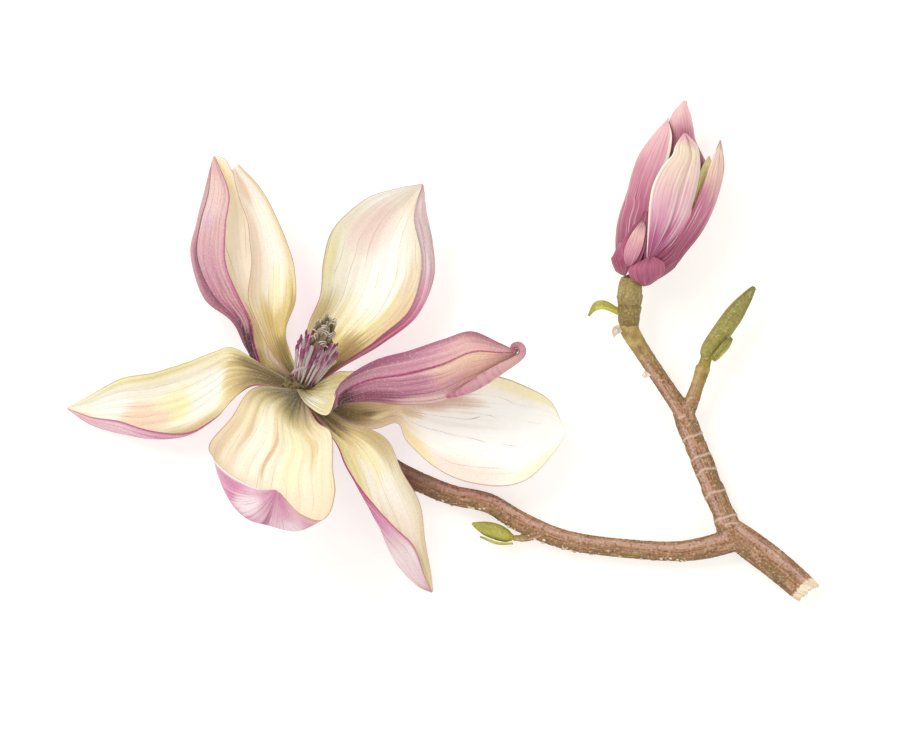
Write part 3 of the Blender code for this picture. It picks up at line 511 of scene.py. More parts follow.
# The inner face's colours from base to tip: the claw's own olive at the base, its darkest stops deepened
# with painted shade by the heart, then cream.
CLAW = [
    (0.0, "51452F"), (0.05, "6F5F39"), (0.12, "A8925A"), (0.2, "D8C68C"), (0.32, "F1E5BC"),
    (0.5, "FAF4E2"), (1.0, "FAF4E4"),
]


def painted_patches(paint, base, u, v, patches):
    """Soft oval patches of colour, each as (u, v, half width, half length, colour, strength)."""
    for place_u, place_v, wide, long, code, strength in patches:
        off_u = paint.math("MULTIPLY_ADD", u, 1 / wide, -place_u / wide)
        off_v = paint.math("MULTIPLY_ADD", v, 1 / long, -place_v / long)
        far = paint.math("ADD", paint.times(off_u, off_u), paint.times(off_v, off_v))
        base = paint.tints(base, (far, 1.0, 0.0, strength, code))
    return base


def petal_space(paint, seed, sway=0.16):
    """A petal's own u and v with a soft wander, and fine streaks along it."""
    u, v = paint.value("petal_u"), paint.value("petal_v")
    cloud = paint.streaks(u, 1.8, v, 3.0, seed)
    streak = paint.streaks(u, 20.0, v, 2.6, seed + 1, 4.0)
    soft_u = paint.math("ADD", u, paint.math("MULTIPLY_ADD", cloud, 2 * sway, -sway))
    soft_v = paint.math("ADD", v, paint.math("MULTIPLY_ADD", streak, sway, -sway / 2))
    soft_v = paint.math("ADD", soft_v, paint.math("MULTIPLY_ADD", cloud, sway, -sway / 2))
    return u, v, soft_u, soft_v, streak


def petal_grain(paint, base, amount):
    """A fine grain over the petal, a little darker and a little lighter than its colour."""
    grain = paint.grain(1500, 2.0)
    light, dark = (grain, 0.52, 0.7, amount, "FFFBF2"), (grain, 0.48, 0.3, amount, "A98B78")
    return paint.tints(base, light, dark), grain


def petal_inside(name, patches=(), left=("E9DDA6", 0.6), right=("E9DDA6", 0.6), stops=CLAW, veins=9,
                 glow=0.05, seed=0.0):
    """The cream face, with its own patches, its two margins and thin grey-brown veins.

    The glow is painted light: the face gives off a little of its own colour, which lifts its shade,
    standing for the light that comes through the thin petal from behind."""
    paint = Paint(name, roughness=0.5, specular=0.2, sheen=0.08, scatter=0.1)
    u, v, soft_u, soft_v, streak = petal_space(paint, seed)
    base = paint.ramp(soft_v, stops)
    for side, (code, strength) in ((-1.0, left), (1.0, right)):
        near = paint.band(paint.times(soft_u, side), 0.35, 1.05)
        base = paint.wash(near, strength, base, code)
    base = painted_patches(paint, base, soft_u, soft_v, patches)
    base = paint.tints(base, (streak, 0.5, 0.3, 0.16, "B39A6E"))
    lines = vein_lines(paint, u, v, veins, 0.028, seed)
    fade = paint.times(paint.band(v, 1.0, 0.7), 0.6)
    base = paint.wash(lines, fade, base, "8D8078")
    # Painted shade: the base of the face is streaked darker towards the heart.
    base_shade = paint.times(paint.band(v, 0.26, 0.0), paint.band(streak, 0.4, 0.6))
    base = paint.wash(base_shade, 0.6, base, "4F4430")
    base = paint.tints(base, (paint.math("ABSOLUTE", u), 0.972, 0.995, 0.7, "9A8262"))
    base, grain = petal_grain(paint, base, 0.12)
    height = paint.math("MULTIPLY_ADD", streak, 0.6, paint.math("MULTIPLY_ADD", lines, -0.6, grain))
    # Painted light: the face glows faintly in its own colour.
    paint.glow(base, glow)
    return paint.done(base, height, strength=0.16)


def petal_outside(name, stops, patches=(), dark="7E3F58", left=("B14A7C", 0.7), right=("B14A7C", 0.7),
                  edge=0.1, veins=15, seed=0.0, pale=0.5, ridge=None):
    """The rose to purple back, with fine pale and dark streaks and magenta veins along it.

    A ridge is one strong line: its u at the base, its drift by the tip, its colour and that beside it. The
    line is painted shade in a fold's crease, and the band beside it is that side of the fold painted
    lighter on one tepal and darker on another for how the light falls."""
    paint = Paint(name, roughness=0.52, specular=0.22, sheen=0.1, scatter=0.06)
    u, v, soft_u, soft_v, streak = petal_space(paint, seed, 0.12)
    base = paint.ramp(soft_v, stops)
    base = painted_patches(paint, base, soft_u, soft_v, patches)
    base = paint.tints(base, (streak, 0.5, 0.7, pale, "F0D3C4"), (streak, 0.48, 0.28, 0.45, dark))
    lines = vein_lines(paint, u, v, veins, 0.07, seed + 3)
    base = paint.wash(lines, 0.55, base, "A5386F")
    if ridge:
        # Painted shade along the fold's crease, then the band beside it, painted lighter or darker as the
        # ridge's last colour gives.
        place = paint.math("MULTIPLY_ADD", v, ridge[1], ridge[0])
        off = paint.math("ABSOLUTE", paint.math("SUBTRACT", u, place))
        base = paint.tints(base, (off, 0.03, 0.008, 0.8, ridge[2]))
        below = paint.math("SUBTRACT", u, place)
        beside = paint.times(paint.band(below, 0.0, 0.05), paint.band(below, 0.34, 0.12))
        base = paint.wash(beside, 0.5, base, ridge[3])
    for side, (code, strength) in ((-1.0, left), (1.0, right)):
        near = paint.band(paint.times(u, side), 1.0 - edge, 0.995)
        base = paint.wash(near, strength, base, code)
    base, grain = petal_grain(paint, base, 0.15)
    height = paint.math("MULTIPLY_ADD", streak, 0.8, paint.math("MULTIPLY_ADD", lines, -0.7, grain))
    return paint.done(base, height, strength=0.24)


ROSE = [
    (0.0, "3E1C2A"), (0.34, "4E2636"), (0.42, "7C4056"), (0.52, "AA6580"), (0.65, "CC90A4"),
    (0.82, "DAA898"), (0.93, "B4857A"), (1.0, "9A6E64"),
]
PURPLE = [
    (0.0, "3E1C2C"), (0.28, "4A2236"), (0.37, "7A3A56"), (0.46, "B06A82"), (0.6, "CC98A6"),
    (0.8, "E2BAB8"), (1.0, "D9AFAC"),
]
PINK = [(0.0, "A9476F"), (0.25, "C96E9A"), (0.5, "DE9DBB"), (0.75, "EBBFCE"), (1.0, "E7B8C4")]


# ---------------------------------------------------------------- the open flower

PETAL_THICKNESS = 0.42


def tepal_shape(rails, seed, ruffle=0.5, furrow=0.12, crumple=0.35, furrow_end=1.0, rim_inside=False,
                along=150, across=84):
    """A tepal at full detail: veined furrows, a soft crumple and a wavy margin on the smooth sheet."""
    grid = sheet_grid(rails, along, across)
    normals = grid_normals(grid)
    u, v = sheet_uv(along, across)
    ease = smoothstep(0.0, 0.12, v) * smoothstep(1.0, 0.9, v)
    wander = smooth_noise(u * 1.5, v * 2.5, seed)
    fade = smoothstep(0.0, 0.1, v) * (1 - 0.4 * v) * smoothstep(furrow_end, furrow_end - 0.25, v)
    lift = furrow * np.cos(2 * math.pi * (u * 4.5 + wander * 0.5)) * fade
    lift = lift + crumple * smooth_noise(u * 2.2, v * 4.0, seed + 7) * ease
    wave = smooth_noise(np.sign(u) * 3.0, v * 9.0, seed + 11)
    lift = lift + ruffle * wave * np.abs(u) ** 5 * ease
    return closed_sheet(grid + normals * lift[..., None], PETAL_THICKNESS, rim_inside)


def left_tepal_paints():
    # The dark band across the base and the darkest stops are the claw's own olive deepened with painted
    # shade by the heart.
    inside = petal_inside("cream_left", [
        (-0.85, 0.5, 0.4, 0.22, "BFA66C", 0.8), (-0.2, 0.66, 0.6, 0.12, "EFCDB2", 0.8),
        (0.0, 0.55, 0.6, 0.07, "F7EEB4", 0.8), (0.6, 0.28, 0.35, 0.1, "F6EAC2", 0.8),
        (0.0, 0.38, 0.7, 0.12, "FCF9EE", 0.9), (0.2, 0.8, 0.6, 0.1, "FBF8F0", 0.85),
        (-0.5, 0.93, 0.6, 0.12, "DFD594", 0.85), (0.5, 0.13, 0.9, 0.06, "7A6847", 0.6),
        (0.95, 0.6, 0.3, 0.3, "EBE09C", 0.7),
    ], left=("CDB980", 0.5), right=("EBDFA6", 0.5), stops=[
        (0.0, "51452F"), (0.06, "786541"), (0.14, "A48E5E"), (0.22, "D3C088"), (0.3, "F0E4BC"),
        (0.45, "FBF5E4"), (1.0, "FBF5E4"),
    ], seed=1.0)
    outside = petal_outside("rose_left", PINK, left=("B04A80", 0.8), right=("C5578F", 0.8), seed=6.0,
                            pale=0.5)
    return inside, outside


def front_tepal_paints():
    # The darkest stops at the base are the claw's own olive deepened with painted shade by the heart.
    stops = [
        (0.0, "55503C"), (0.06, "7A714E"), (0.12, "B7A872"), (0.19, "EBDFB8"), (0.36, "F8EDD6"),
        (0.7, "F9E6D4"), (1.0, "F2D6C2"),
    ]
    inside = petal_inside("cream_front", [
        (0.9, 0.36, 0.2, 0.22, "E3C8A4", 0.5), (-0.3, 0.36, 0.24, 0.26, "F6F0C4", 0.6),
        (0.35, 0.36, 0.25, 0.25, "FCF5E4", 0.85), (0.08, 0.34, 0.045, 0.24, "C79F7C", 0.65),
        (-0.6, 0.28, 0.1, 0.2, "D2BC7C", 0.6), (0.6, 0.28, 0.07, 0.16, "D8BE96", 0.5),
        (-0.8, 0.42, 0.25, 0.2, "F6EACB", 0.6), (0.0, 0.6, 0.8, 0.14, "F6DDC6", 0.8),
    ], stops=stops, left=("EACFAC", 0.5), right=("E8CFA8", 0.45), veins=11, seed=9.0)
    stops = [(0.0, "E0AFC0"), (0.6, "E2A2C0"), (0.72, "D684AE"), (0.84, "F0C4D6"), (1.0, "CB7BA2")]
    # The two pale patches high on the flap are painted highlights on either side of its crease, and the
    # narrow dark magenta patch between them is painted shade in the crease.
    outside = petal_outside("rose_front", stops, [
        (0.5, 0.8, 0.34, 0.11, "FAE6EC", 0.95), (-0.45, 0.8, 0.35, 0.1, "F7DDE5", 0.9),
        (0.02, 0.82, 0.08, 0.25, "A8447A", 0.85), (0.9, 0.68, 0.25, 0.12, "DE98B8", 0.6),
        (-0.95, 0.8, 0.12, 0.2, "E4B8B4", 0.7),
    ], left=("D8A98C", 0.7), right=("FBF5EC", 1.0), edge=0.07, veins=19, seed=12.0, pale=0.4)
    return inside, outside


def front_right_tepal_paints():
    # The two dark patches at the base, and the darkest stops of the CLAW ramp it takes, are olive deepened
    # with painted shade by the heart.
    inside = petal_inside("cream_front_right", [
        (-0.75, 0.3, 0.5, 0.2, "B5A069", 0.7), (0.0, 0.36, 0.5, 0.16, "F3EBB8", 0.8),
        (0.5, 0.3, 0.25, 0.3, "EFE4A0", 0.7), (0.2, 0.42, 0.25, 0.14, "FBF7E8", 0.7),
        (-0.1, 0.7, 0.9, 0.16, "F7E7D8", 0.8), (-0.5, 0.88, 0.6, 0.16, "EADFA2", 0.7),
        (0.35, 0.14, 0.16, 0.1, "5C5038", 0.7), (-0.4, 0.12, 0.3, 0.08, "6B5C3A", 0.6),
    ], left=("C9B27E", 0.65), right=("E7DC9E", 0.6), seed=3.0)
    stops = [
        (0.0, "8E2F5C"), (0.3, "A83C72"), (0.52, "C0508A"), (0.62, "E4A0C0"), (0.74, "FBE8E8"),
        (0.88, "F4D4DA"), (1.0, "C08A94"),
    ]
    outside = petal_outside("rose_front_right", stops, left=("C04C86", 0.8), right=("C23C7C", 0.85),
                            seed=16.0, pale=0.55)
    return inside, outside


def right_tepal_paints():
    # The darkest stops at the base are the claw's own olive deepened with painted shade by the heart.
    stops = [
        (0.0, "564A30"), (0.06, "7A6840"), (0.14, "AE9862"), (0.24, "D8C494"), (0.34, "F3E6C8"),
        (0.46, "FFFCF2"), (1.0, "FFFEF8"),
    ]
    # The tan patches on the half by the folded tepal, at u -0.5 to 0, are that tepal's painted shadow; the
    # dark patch at the base is painted shade by the heart, and the glow is painted light.
    inside = petal_inside("cream_right", [
        (-0.5, 0.32, 0.4, 0.12, "B7976F", 0.7), (0.0, 0.66, 0.7, 0.3, "FFFFFA", 0.95),
        (-0.42, 0.5, 0.3, 0.2, "C4A280", 0.85), (-0.05, 0.38, 0.3, 0.1, "D2B48E", 0.7),
        (0.88, 0.6, 0.4, 0.2, "F8DDD0", 0.85), (0.8, 0.4, 0.3, 0.1, "EEDFA0", 0.8),
        (0.2, 0.22, 0.3, 0.06, "F3EBB8", 0.8), (-0.95, 0.8, 0.3, 0.16, "F6EDBC", 0.8),
        (0.9, 0.85, 0.3, 0.12, "F8EDBE", 0.6), (-0.1, 0.15, 0.25, 0.05, "5E5034", 0.6),
    ], stops=stops, left=("EED9B8", 0.4), right=("F6E6D4", 0.5), veins=5, glow=0.1, seed=5.0)
    outside = petal_outside("rose_right", PINK, seed=26.0, pale=0.6)
    return inside, outside


def folded_tepal_paints():
    # The darkest stops at the base of the inner face are its olive deepened with painted shade by the
    # heart.
    inside = petal_inside("cream_folded", [
        (0.5, 0.1, 0.5, 0.06, "FBF7E6", 0.9), (0.2, 0.05, 0.5, 0.04, "C9B97C", 0.6),
        (-0.5, 0.1, 0.5, 0.06, "CDBE85", 0.7),
    ], stops=[(0.0, "4F4632"), (0.03, "8A7B4E"), (0.07, "CDBF86"), (0.14, "F0E6BE"), (1.0, "EADBB0")],
        veins=13, seed=7.0)
    # The ridge's dark magenta line is painted shade in the fold's crease, and the pale band beside it is
    # painted light on the fold.
    outside = petal_outside("rose_folded", ROSE, [
        (0.62, 0.74, 0.3, 0.16, "E9C6A6", 0.8), (0.05, 0.62, 0.14, 0.16, "ECCDC0", 0.75),
        (0.45, 0.5, 0.2, 0.14, "D99FB2", 0.5), (0.95, 0.85, 0.3, 0.14, "9C6B72", 0.7),
        (0.35, 0.34, 0.9, 0.06, "3E1C2C", 0.8), (0.1, 0.46, 0.3, 0.1, "8C3F60", 0.6),
        (0.95, 0.4, 0.2, 0.3, "A0587A", 0.6),
    ], left=("9C4468", 0.5), right=("9A4A68", 0.7), dark="7A3650", veins=19, seed=2.0, pale=0.35,
        ridge=(0.46, 0.24, "9A2064", "D9A2B0"))
    return inside, outside


def upper_right_tepal_paints():
    # On the right half the tan and olive patches and the olive right margin are painted shade beside the
    # crease and under the rolled right margin. The dark patches and stops at the base are olive deepened
    # with painted shade by the heart.
    inside = petal_inside("cream_upper_right", [
        (0.0, 0.5, 0.4, 0.22, "FEFDF6", 0.95), (-0.4, 0.68, 0.5, 0.18, "F8DFD8", 0.9),
        (0.45, 0.36, 0.28, 0.26, "E0C49A", 0.75), (0.5, 0.5, 0.2, 0.14, "F6E9CE", 0.7),
        (0.25, 0.28, 0.07, 0.22, "E6DC8E", 0.6), (0.7, 0.5, 0.1, 0.28, "A8935C", 0.7),
        (-0.8, 0.28, 0.3, 0.16, "BFAA60", 0.7), (-0.95, 0.5, 0.2, 0.15, "EBE2A6", 0.8),
        (-0.85, 0.85, 0.4, 0.14, "FDF8F0", 0.8), (-0.1, 0.2, 0.4, 0.05, "EADB86", 0.5),
        (-0.5, 0.14, 0.4, 0.06, "AB8B50", 0.8), (0.35, 0.21, 0.45, 0.09, "A58450", 0.85),
        (0.5, 0.1, 0.6, 0.08, "7C6236", 0.7), (0.1, 0.86, 0.4, 0.1, "FAE9D8", 0.7),
    ], left=("EADDA8", 0.4), right=("C9B376", 0.6), stops=[
        (0.0, "51432C"), (0.06, "7D673A"), (0.12, "AD945A"), (0.18, "DCC985"), (0.27, "F4EBBE"),
        (0.42, "FDF9EC"), (1.0, "FBF3E6"),
    ], glow=0.05, seed=11.0)
    stops = [
        (0.0, "B02C66"), (0.25, "D0508C"), (0.4, "E58FB6"), (0.52, "F3D8E0"), (0.85, "F0D6D6"),
        (1.0, "C9A39E"),
    ]
    outside = petal_outside("rose_upper_right", stops, [(0.75, 0.62, 0.12, 0.3, "B5A195", 0.5)],
                            left=("D0559A", 0.85), right=("8E7B76", 0.5), edge=0.12, seed=36.0, pale=0.5)
    return inside, outside


def upper_middle_tepal_paints():
    # The dark band at the base and the darkest stops are olive deepened with painted shade by the heart.
    inside = petal_inside("cream_upper_middle", [
        (0.1, 0.62, 0.5, 0.3, "FFF9EE", 0.85), (-0.5, 0.62, 0.3, 0.22, "FAE2D2", 0.8),
        (0.75, 0.4, 0.3, 0.18, "DDC880", 0.75), (0.1, 0.34, 0.8, 0.12, "D2B876", 0.75),
        (0.2, 0.46, 0.3, 0.12, "F5ECC4", 0.7), (-0.3, 0.9, 0.6, 0.1, "E9CDB6", 0.8),
        (0.55, 0.85, 0.3, 0.14, "FCF8EE", 0.8), (0.5, 0.18, 0.6, 0.1, "8C7542", 0.75),
        (0.9, 0.36, 0.2, 0.16, "A68F50", 0.7),
    ], left=("DDB78E", 0.5), right=("D8C583", 0.7), stops=[
        (0.0, "4E4230"), (0.06, "79683E"), (0.14, "B09860"), (0.24, "DFCC8E"), (0.36, "F4E9BE"),
        (0.5, "FDF5E4"), (1.0, "FDF3E6"),
    ], glow=0.04, seed=13.0)
    outside = petal_outside("rose_upper_middle", PINK, seed=46.0, pale=0.6)
    return inside, outside


def upper_left_tepal_paints():
    # The darkest stops at the base are the claw's olive deepened with painted shade by the heart, and the
    # stronger glow is painted light that lifts the shaded strip in the fold under the next tepal.
    inside = petal_inside("cream_upper_left", [
        (0.5, 0.6, 0.5, 0.35, "FFFBEA", 0.95), (0.1, 0.5, 0.2, 0.25, "F8F0B8", 0.7),
        (0.6, 0.3, 0.5, 0.12, "EFE5AC", 0.7), (0.5, 0.92, 0.6, 0.12, "FAF4D4", 0.8),
        (0.3, 0.14, 0.7, 0.08, "CFC082", 0.6),
    ], left=("F6EEC8", 0.4), right=("FBF5E2", 0.5), veins=6, stops=[
        (0.0, "5A4C30"), (0.06, "8C7A48"), (0.14, "CFBF86"), (0.25, "F1E8C0"), (0.45, "FDF6D8"),
        (1.0, "FFF8DC"),
    ], glow=0.1, seed=15.0)
    # The ridge's dark line is painted shade in the fold's crease, with painted shade on the band beside it.
    outside = petal_outside("rose_upper_left", PURPLE, [
        (-0.6, 0.8, 0.2, 0.08, "D3AECB", 0.7), (-0.42, 0.5, 0.09, 0.2, "8A4A68", 0.65),
        (-0.8, 0.42, 0.16, 0.14, "E0B8AE", 0.6), (-0.6, 0.86, 0.5, 0.12, "F0D2C8", 0.7),
        (-0.75, 0.27, 0.5, 0.07, "4E2238", 0.8), (-0.8, 0.42, 0.3, 0.08, "A65A7A", 0.5),
    ], left=("C04C86", 0.85), right=("B14A7C", 0.5), edge=0.06, seed=56.0, pale=0.45,
        ridge=(-0.62, 0.26, "5E3644", "9C5A70"))
    return inside, outside


def build_open_flower():
    looks = {
        "tepal_left": (left_tepal_paints, {"ruffle": 0.5, "rim_inside": True}),
        "tepal_front": (front_tepal_paints, {"ruffle": 0.4, "furrow": 0.34, "furrow_end": 0.62,
                                             "rim_inside": True}),
        "tepal_front_right": (front_right_tepal_paints, {"ruffle": 0.4}),
        "tepal_right": (right_tepal_paints, {"ruffle": 0.7, "furrow": 0.06, "rim_inside": True}),
        "tepal_folded": (folded_tepal_paints, {"ruffle": 0.2, "furrow": 0.24}),
        "tepal_upper_right": (upper_right_tepal_paints, {"ruffle": 0.5}),
        "tepal_upper_middle": (upper_middle_tepal_paints, {"ruffle": 0.6, "rim_inside": True}),
        "tepal_upper_left": (upper_left_tepal_paints, {"ruffle": 0.6, "furrow": 0.16}),
    }
    for number, (name, (paints, settings)) in enumerate(looks.items()):
        shape = tepal_shape(TEPALS[name], 3.7 * number, **settings)
        add_piece("petal_" + name[6:], shape, paints(), [name])


RIM_LINE = [
    (51, -4.3, 38.6, 0.5), (55.5, -2.8, 39.6, 1.3), (60.1, -0.5, 40.6, 2.0), (65.4, 2.7, 41.8, 2.2),
    (70.7, 6.0, 42.6, 1.9), (74.8, 8.4, 43, 1.5), (77.6, 10.6, 43, 1.4), (78.1, 12.8, 43, 1.4),
    (76.9, 14.3, 43.1, 1.3), (75.2, 14.2, 43.4, 1.1), (74.6, 13.0, 43.8, 1.1), (75.4, 12.2, 44, 1.1),
    (76.3, 12.5, 44.2, 1.0),
]


def build_rolled_rim():
    """The folded tepal's lower margin rolled outward, with cross ribs, ending in a small curl."""
    paint = Paint("rim_lilac", roughness=0.5, specular=0.25, sheen=0.1)
    v, turn = paint.value("tube_v"), paint.value("tube_turn")
    line = paint.streaks(turn, 1.2, v, 46.0, 5.0, 3.0)
    base = paint.ramp(v, [(0.0, "B46A8A"), (0.12, "D2A6AE"), (0.4, "E2C2B4"), (0.62, "D0A0A4"),
                          (0.8, "B07A80"), (0.92, "8A5A5A"), (1.0, "6E4444")])
    base = paint.tints(
        base,
        (line, 0.52, 0.68, 0.35, "F2E2DC"),
        (line, 0.46, 0.32, 0.4, "8C5A6C"),
        (turn, 0.0, -0.7, 0.35, "A8406F"),
    )
    material = paint.done(base, paint.math("ADD", line, paint.grain(1500)), strength=0.15)
    shape = tube(RIM_LINE, sides=28, steps=10, flatness=0.62)
    add_piece("petal_rolled_rim", shape, [material])


# ---------------------------------------------------------------- stamens and carpels

# Each ring of stamens: how many, the radius of its feet, how far it leans out and how high it reaches.
STAMEN_RINGS = ((15, 2.6, 4.4, 20.6), (20, 3.3, 5.9, 19.2), (22, 4.1, 7.4, 16.6))
# The stamens' glow is painted light that keeps their shaded sides pale.
STAMEN_GLOW = 0.12
CARPEL_COUNT = 62
GOLDEN_ANGLE = math.pi * (3 - math.sqrt(5))
GOLDEN_SHARE = 0.618  # spreads the tones of neighbours apart


def around_axis(height, angle, radius):
    side = np.cross(FLOWER_AXIS, (0, 0, 1))
    side /= np.linalg.norm(side)
    back = np.cross(FLOWER_AXIS, side)
    return HEART + FLOWER_AXIS * height + (side * math.cos(angle) + back * math.sin(angle)) * radius


def build_stamens():
    """Slender stamens in three rings: cream below with painted shade at their feet for the dark gaps
    between, magenta at the tips, with painted shade on one side and a painted highlight on the other.
    """
    paint = Paint("stamen_magenta", roughness=0.5, specular=0.3)
    v, turn, tone = paint.value("tube_v"), paint.value("tube_turn"), paint.value("tone")
    # The near-black stop at the foot is painted shade between the stamens.
    base = paint.ramp(v, [
        (0.0, "3A2A22"), (0.1, "B08A6E"), (0.22, "FFF6E8"), (0.52, "FBEDEC"), (0.68, "C8789E"),
        (0.8, "B02A6C"), (0.92, "D03480"), (1.0, "9E90B4"),
    ])
    # The turn tints are painted shade on one side of each stamen and a painted highlight on the other; the
    # last tint is painted shade at the feet.
    base = paint.tints(
        base,
        (tone, 0.66, 0.8, 0.8, "BC4A88"),
        (tone, 0.3, 0.2, 0.75, "FFFCF6"),
        (turn, 0.1, -0.5, 0.6, "5C4452"),
        (turn, 0.45, 0.8, 0.6, "FFF8F0"),
        (v, 0.14, 0.0, 0.85, "2E221C"),
    )
    # Painted light: the stamens glow faintly in their own colour.
    paint.glow(base, STAMEN_GLOW)
    material = paint.done(base, paint.grain(2200), strength=0.15)
    rods = []
    for ring, (count, foot_radius, lean, reach) in enumerate(STAMEN_RINGS):
        for k in range(count):
            angle = 2 * math.pi * (k + 0.4 * ring) / count
            sway = 0.5 * math.sin(k * 4.7 + ring)
            height = reach + 1.5 * math.sin(k * 2.3 + ring * 1.7)
            stations = [
                (*around_axis(1.8, angle, foot_radius), 0.22),
                (*around_axis(height * 0.35, angle + 0.06 * sway, foot_radius + 0.5 + 0.25 * ring), 0.27),
                (*around_axis(height * 0.68, angle + 0.16 * sway, foot_radius * 0.45 + lean * 0.6), 0.33),
                (*around_axis(height * 0.84, angle + 0.24 * sway, foot_radius * 0.2 + lean * 0.82), 0.5),
                (*around_axis(height * 0.96, angle + 0.28 * sway, lean + sway), 0.46),
                (*around_axis(height + 0.4, angle + 0.28 * sway, lean + sway * 1.2), 0.2),
            ]
            tone = (k * GOLDEN_SHARE + ring * 0.37) % 1.0
            rods.append(tube(stations, sides=8, steps=4, flatness=0.75, values={"tone": tone}))
    add_piece("stamen_crown", Shape.joined(rods), [material], ["stamens"])
    fallen = [
        (-5.2, 3.2, 33.2, 0.5), (-4, 4.7, 34.2, 0.5), (-1.8, 5.8, 35.0, 0.5), (0.7, 6.3, 35.8, 0.48),
        (2.2, 7.6, 36.4, 0.42), (3.2, 9.2, 37.2, 0.3),
    ]
    add_piece("stamen_bent", tube(fallen, sides=10, steps=5, values={"tone": 0.72}), [material])
    # The receptacle and a cushion by the tepals' bases, in dark umber: painted shade for the flower's
    # heart, where stamens and tepals meet. The cushion stands only for that shade, filling the gap between
    # the front tepal's base and the folded tepal's lobes.
    dim = Paint("receptacle_heart_shade", roughness=0.8, specular=0.1)
    umber = dim.ramp(dim.grain(700), [(0.35, "453A28"), (0.65, "857650")])
    dim = dim.done(umber, dim.grain(1500), strength=0.4)
    disc = [(-1.6, 2.4), (0.0, 3.8), (1.2, 4.4), (2.2, 4.3), (5, 3.0), (9, 2.4), (12, 1.8)]
    disc = [(*(HEART + FLOWER_AXIS * h), r) for h, r in disc]
    cushion = [(-6.6, 0.6, 23.6, 2.2), (-4.6, 0, 24.6, 3.0), (-2.4, -0.8, 25.4, 3.2), (0.4, -1.4, 26, 2.6)]
    shapes = [tube(disc, sides=36, steps=6), tube(cushion, sides=32, steps=8)]
    add_piece("stamen_disc", Shape.joined(shapes), [dim])


def build_carpels():
    """The cone of small olive carpels, each ending in a pale hooked style."""
    paint = Paint("carpel_olive", roughness=0.65, specular=0.2)
    v, tone = paint.value("tube_v"), paint.value("tone")
    base = paint.ramp(v, [(0.0, "4E4634"), (0.3, "857859"), (0.55, "B5A58C"), (0.8, "D9CCBC"),
                          (1.0, "EDE4DA")])
    base = paint.wash(tone, 0.5, base, "6B5A55")
    material = paint.done(base, paint.grain(1800), strength=0.3)
    profile = [(3.2, 1.8), (9, 2.0), (15, 2.2), (19, 2.5), (23, 2.6), (26, 2.1), (28, 1.1), (29.2, 0.4)]
    cone = [(*(HEART + FLOWER_AXIS * h), r) for h, r in profile]
    shapes = [tube(cone, sides=20, steps=4, values={"tone": 0.9})]
    for k in range(CARPEL_COUNT):
        height = 13.5 + 15.8 * (k / CARPEL_COUNT) ** 0.9
        core = np.interp(height, *zip(*profile))
        angle = GOLDEN_ANGLE * k + 0.5 * math.sin(k * 3.1)
        curl = 0.6 * math.sin(k * 1.9) + 0.35 * math.sin(k * 4.3)
        stations = [
            (*around_axis(height - 0.6, angle, core - 0.2), 0.35),
            (*around_axis(height, angle, core + 0.45), 0.72),
            (*around_axis(height + 1.0, angle, core + 0.85), 0.5),
            (*around_axis(height + 1.9, angle + 0.1 * curl, core + 1.1), 0.28),
            (*around_axis(height + 2.5, angle + 0.35 * curl, core + 1.5), 0.22),
            (*around_axis(height + 2.3, angle + 0.75 * curl, core + 1.9), 0.18),
            (*around_axis(height + 1.6, angle + 0.95 * curl, core + 1.8), 0.1),
        ]
        shapes.append(tube(stations, sides=7, steps=3, values={"tone": 0.5 * ((k * GOLDEN_SHARE) % 1.0)}))
    spike = [(*around_axis(28.6, 0.3, 0.3), 0.35), (*around_axis(30.2, 0.2, 0.7), 0.25),
             (*around_axis(32, 0.0, 1.1), 0.1)]
    shapes.append(tube(spike, sides=7, steps=3, values={"tone": 0.3}))
    add_piece("carpels", Shape.joined(shapes), [material], ["carpel_cone"])


# ---------------------------------------------------------------- the flower bud

# Each bud tepal as two margins, left and right as seen from above, in (x, y, lift) from base to tip. The
# lift is how far the tepal stands off the bud's own round surface.
BUD_LEFT = (
    [(113.8, 46, 0), (113.2, 52, 0.2), (113.2, 58, 0.2), (115.1, 65, 0.2), (116, 71.5, 0.3),
     (116.7, 76.5, 0.5), (119, 81.8, 0.5), (123.5, 87.3, 0.5), (128, 94, 0.5), (130.1, 96.4, 0.6)],
    [(119, 45, 0), (121, 52, 0), (123.6, 58, 0), (125.2, 64.5, 0), (126.5, 71, 0), (128.6, 76.5, 0),
     (130.8, 81.5, 0.1), (131.9, 86.8, 0.2), (131.9, 91, 0.4), (130.3, 96.4, 0.6)],
)
BUD_FRONT = (
    [(122.9, 45.2, 1.2), (123.2, 53.8, 1.4), (123.5, 59.7, 1.4), (123.9, 65.5, 1.4), (125.2, 72, 1.4),
     (128.3, 78.2, 1.3), (132, 82.6, 1.3), (133.2, 86, 1.3), (136, 90.4, 1.4)],
    [(126, 46.3, 1.2), (131.4, 51.4, 1.3), (135.4, 56.2, 1.3), (138.6, 62.5, 1.3), (140.8, 69.9, 1.3),
     (142, 76.4, 1.3), (142, 81.4, 1.3), (141, 86.2, 1.3), (137.2, 90.5, 1.4)],
)
BUD_RIGHT = (
    [(123.6, 44, 0.2), (130.1, 48.2, 0.3), (135, 54.5, 0.3), (138.4, 60.9, 0.4), (141, 67, 0.6),
     (143.6, 72.7, 1.2), (145.6, 78.8, 2.2), (147.6, 84, 5), (149.3, 88.1, 9)],
    [(122, 35.4, 0), (130.1, 39.5, 0.2), (137.2, 47.8, 0.8), (142.6, 54.8, 1.2), (146.6, 62.5, 1.6),
     (149.4, 70.5, 3), (150.8, 77.6, 5), (150.4, 83.4, 7), (149.5, 88.1, 9)],
)
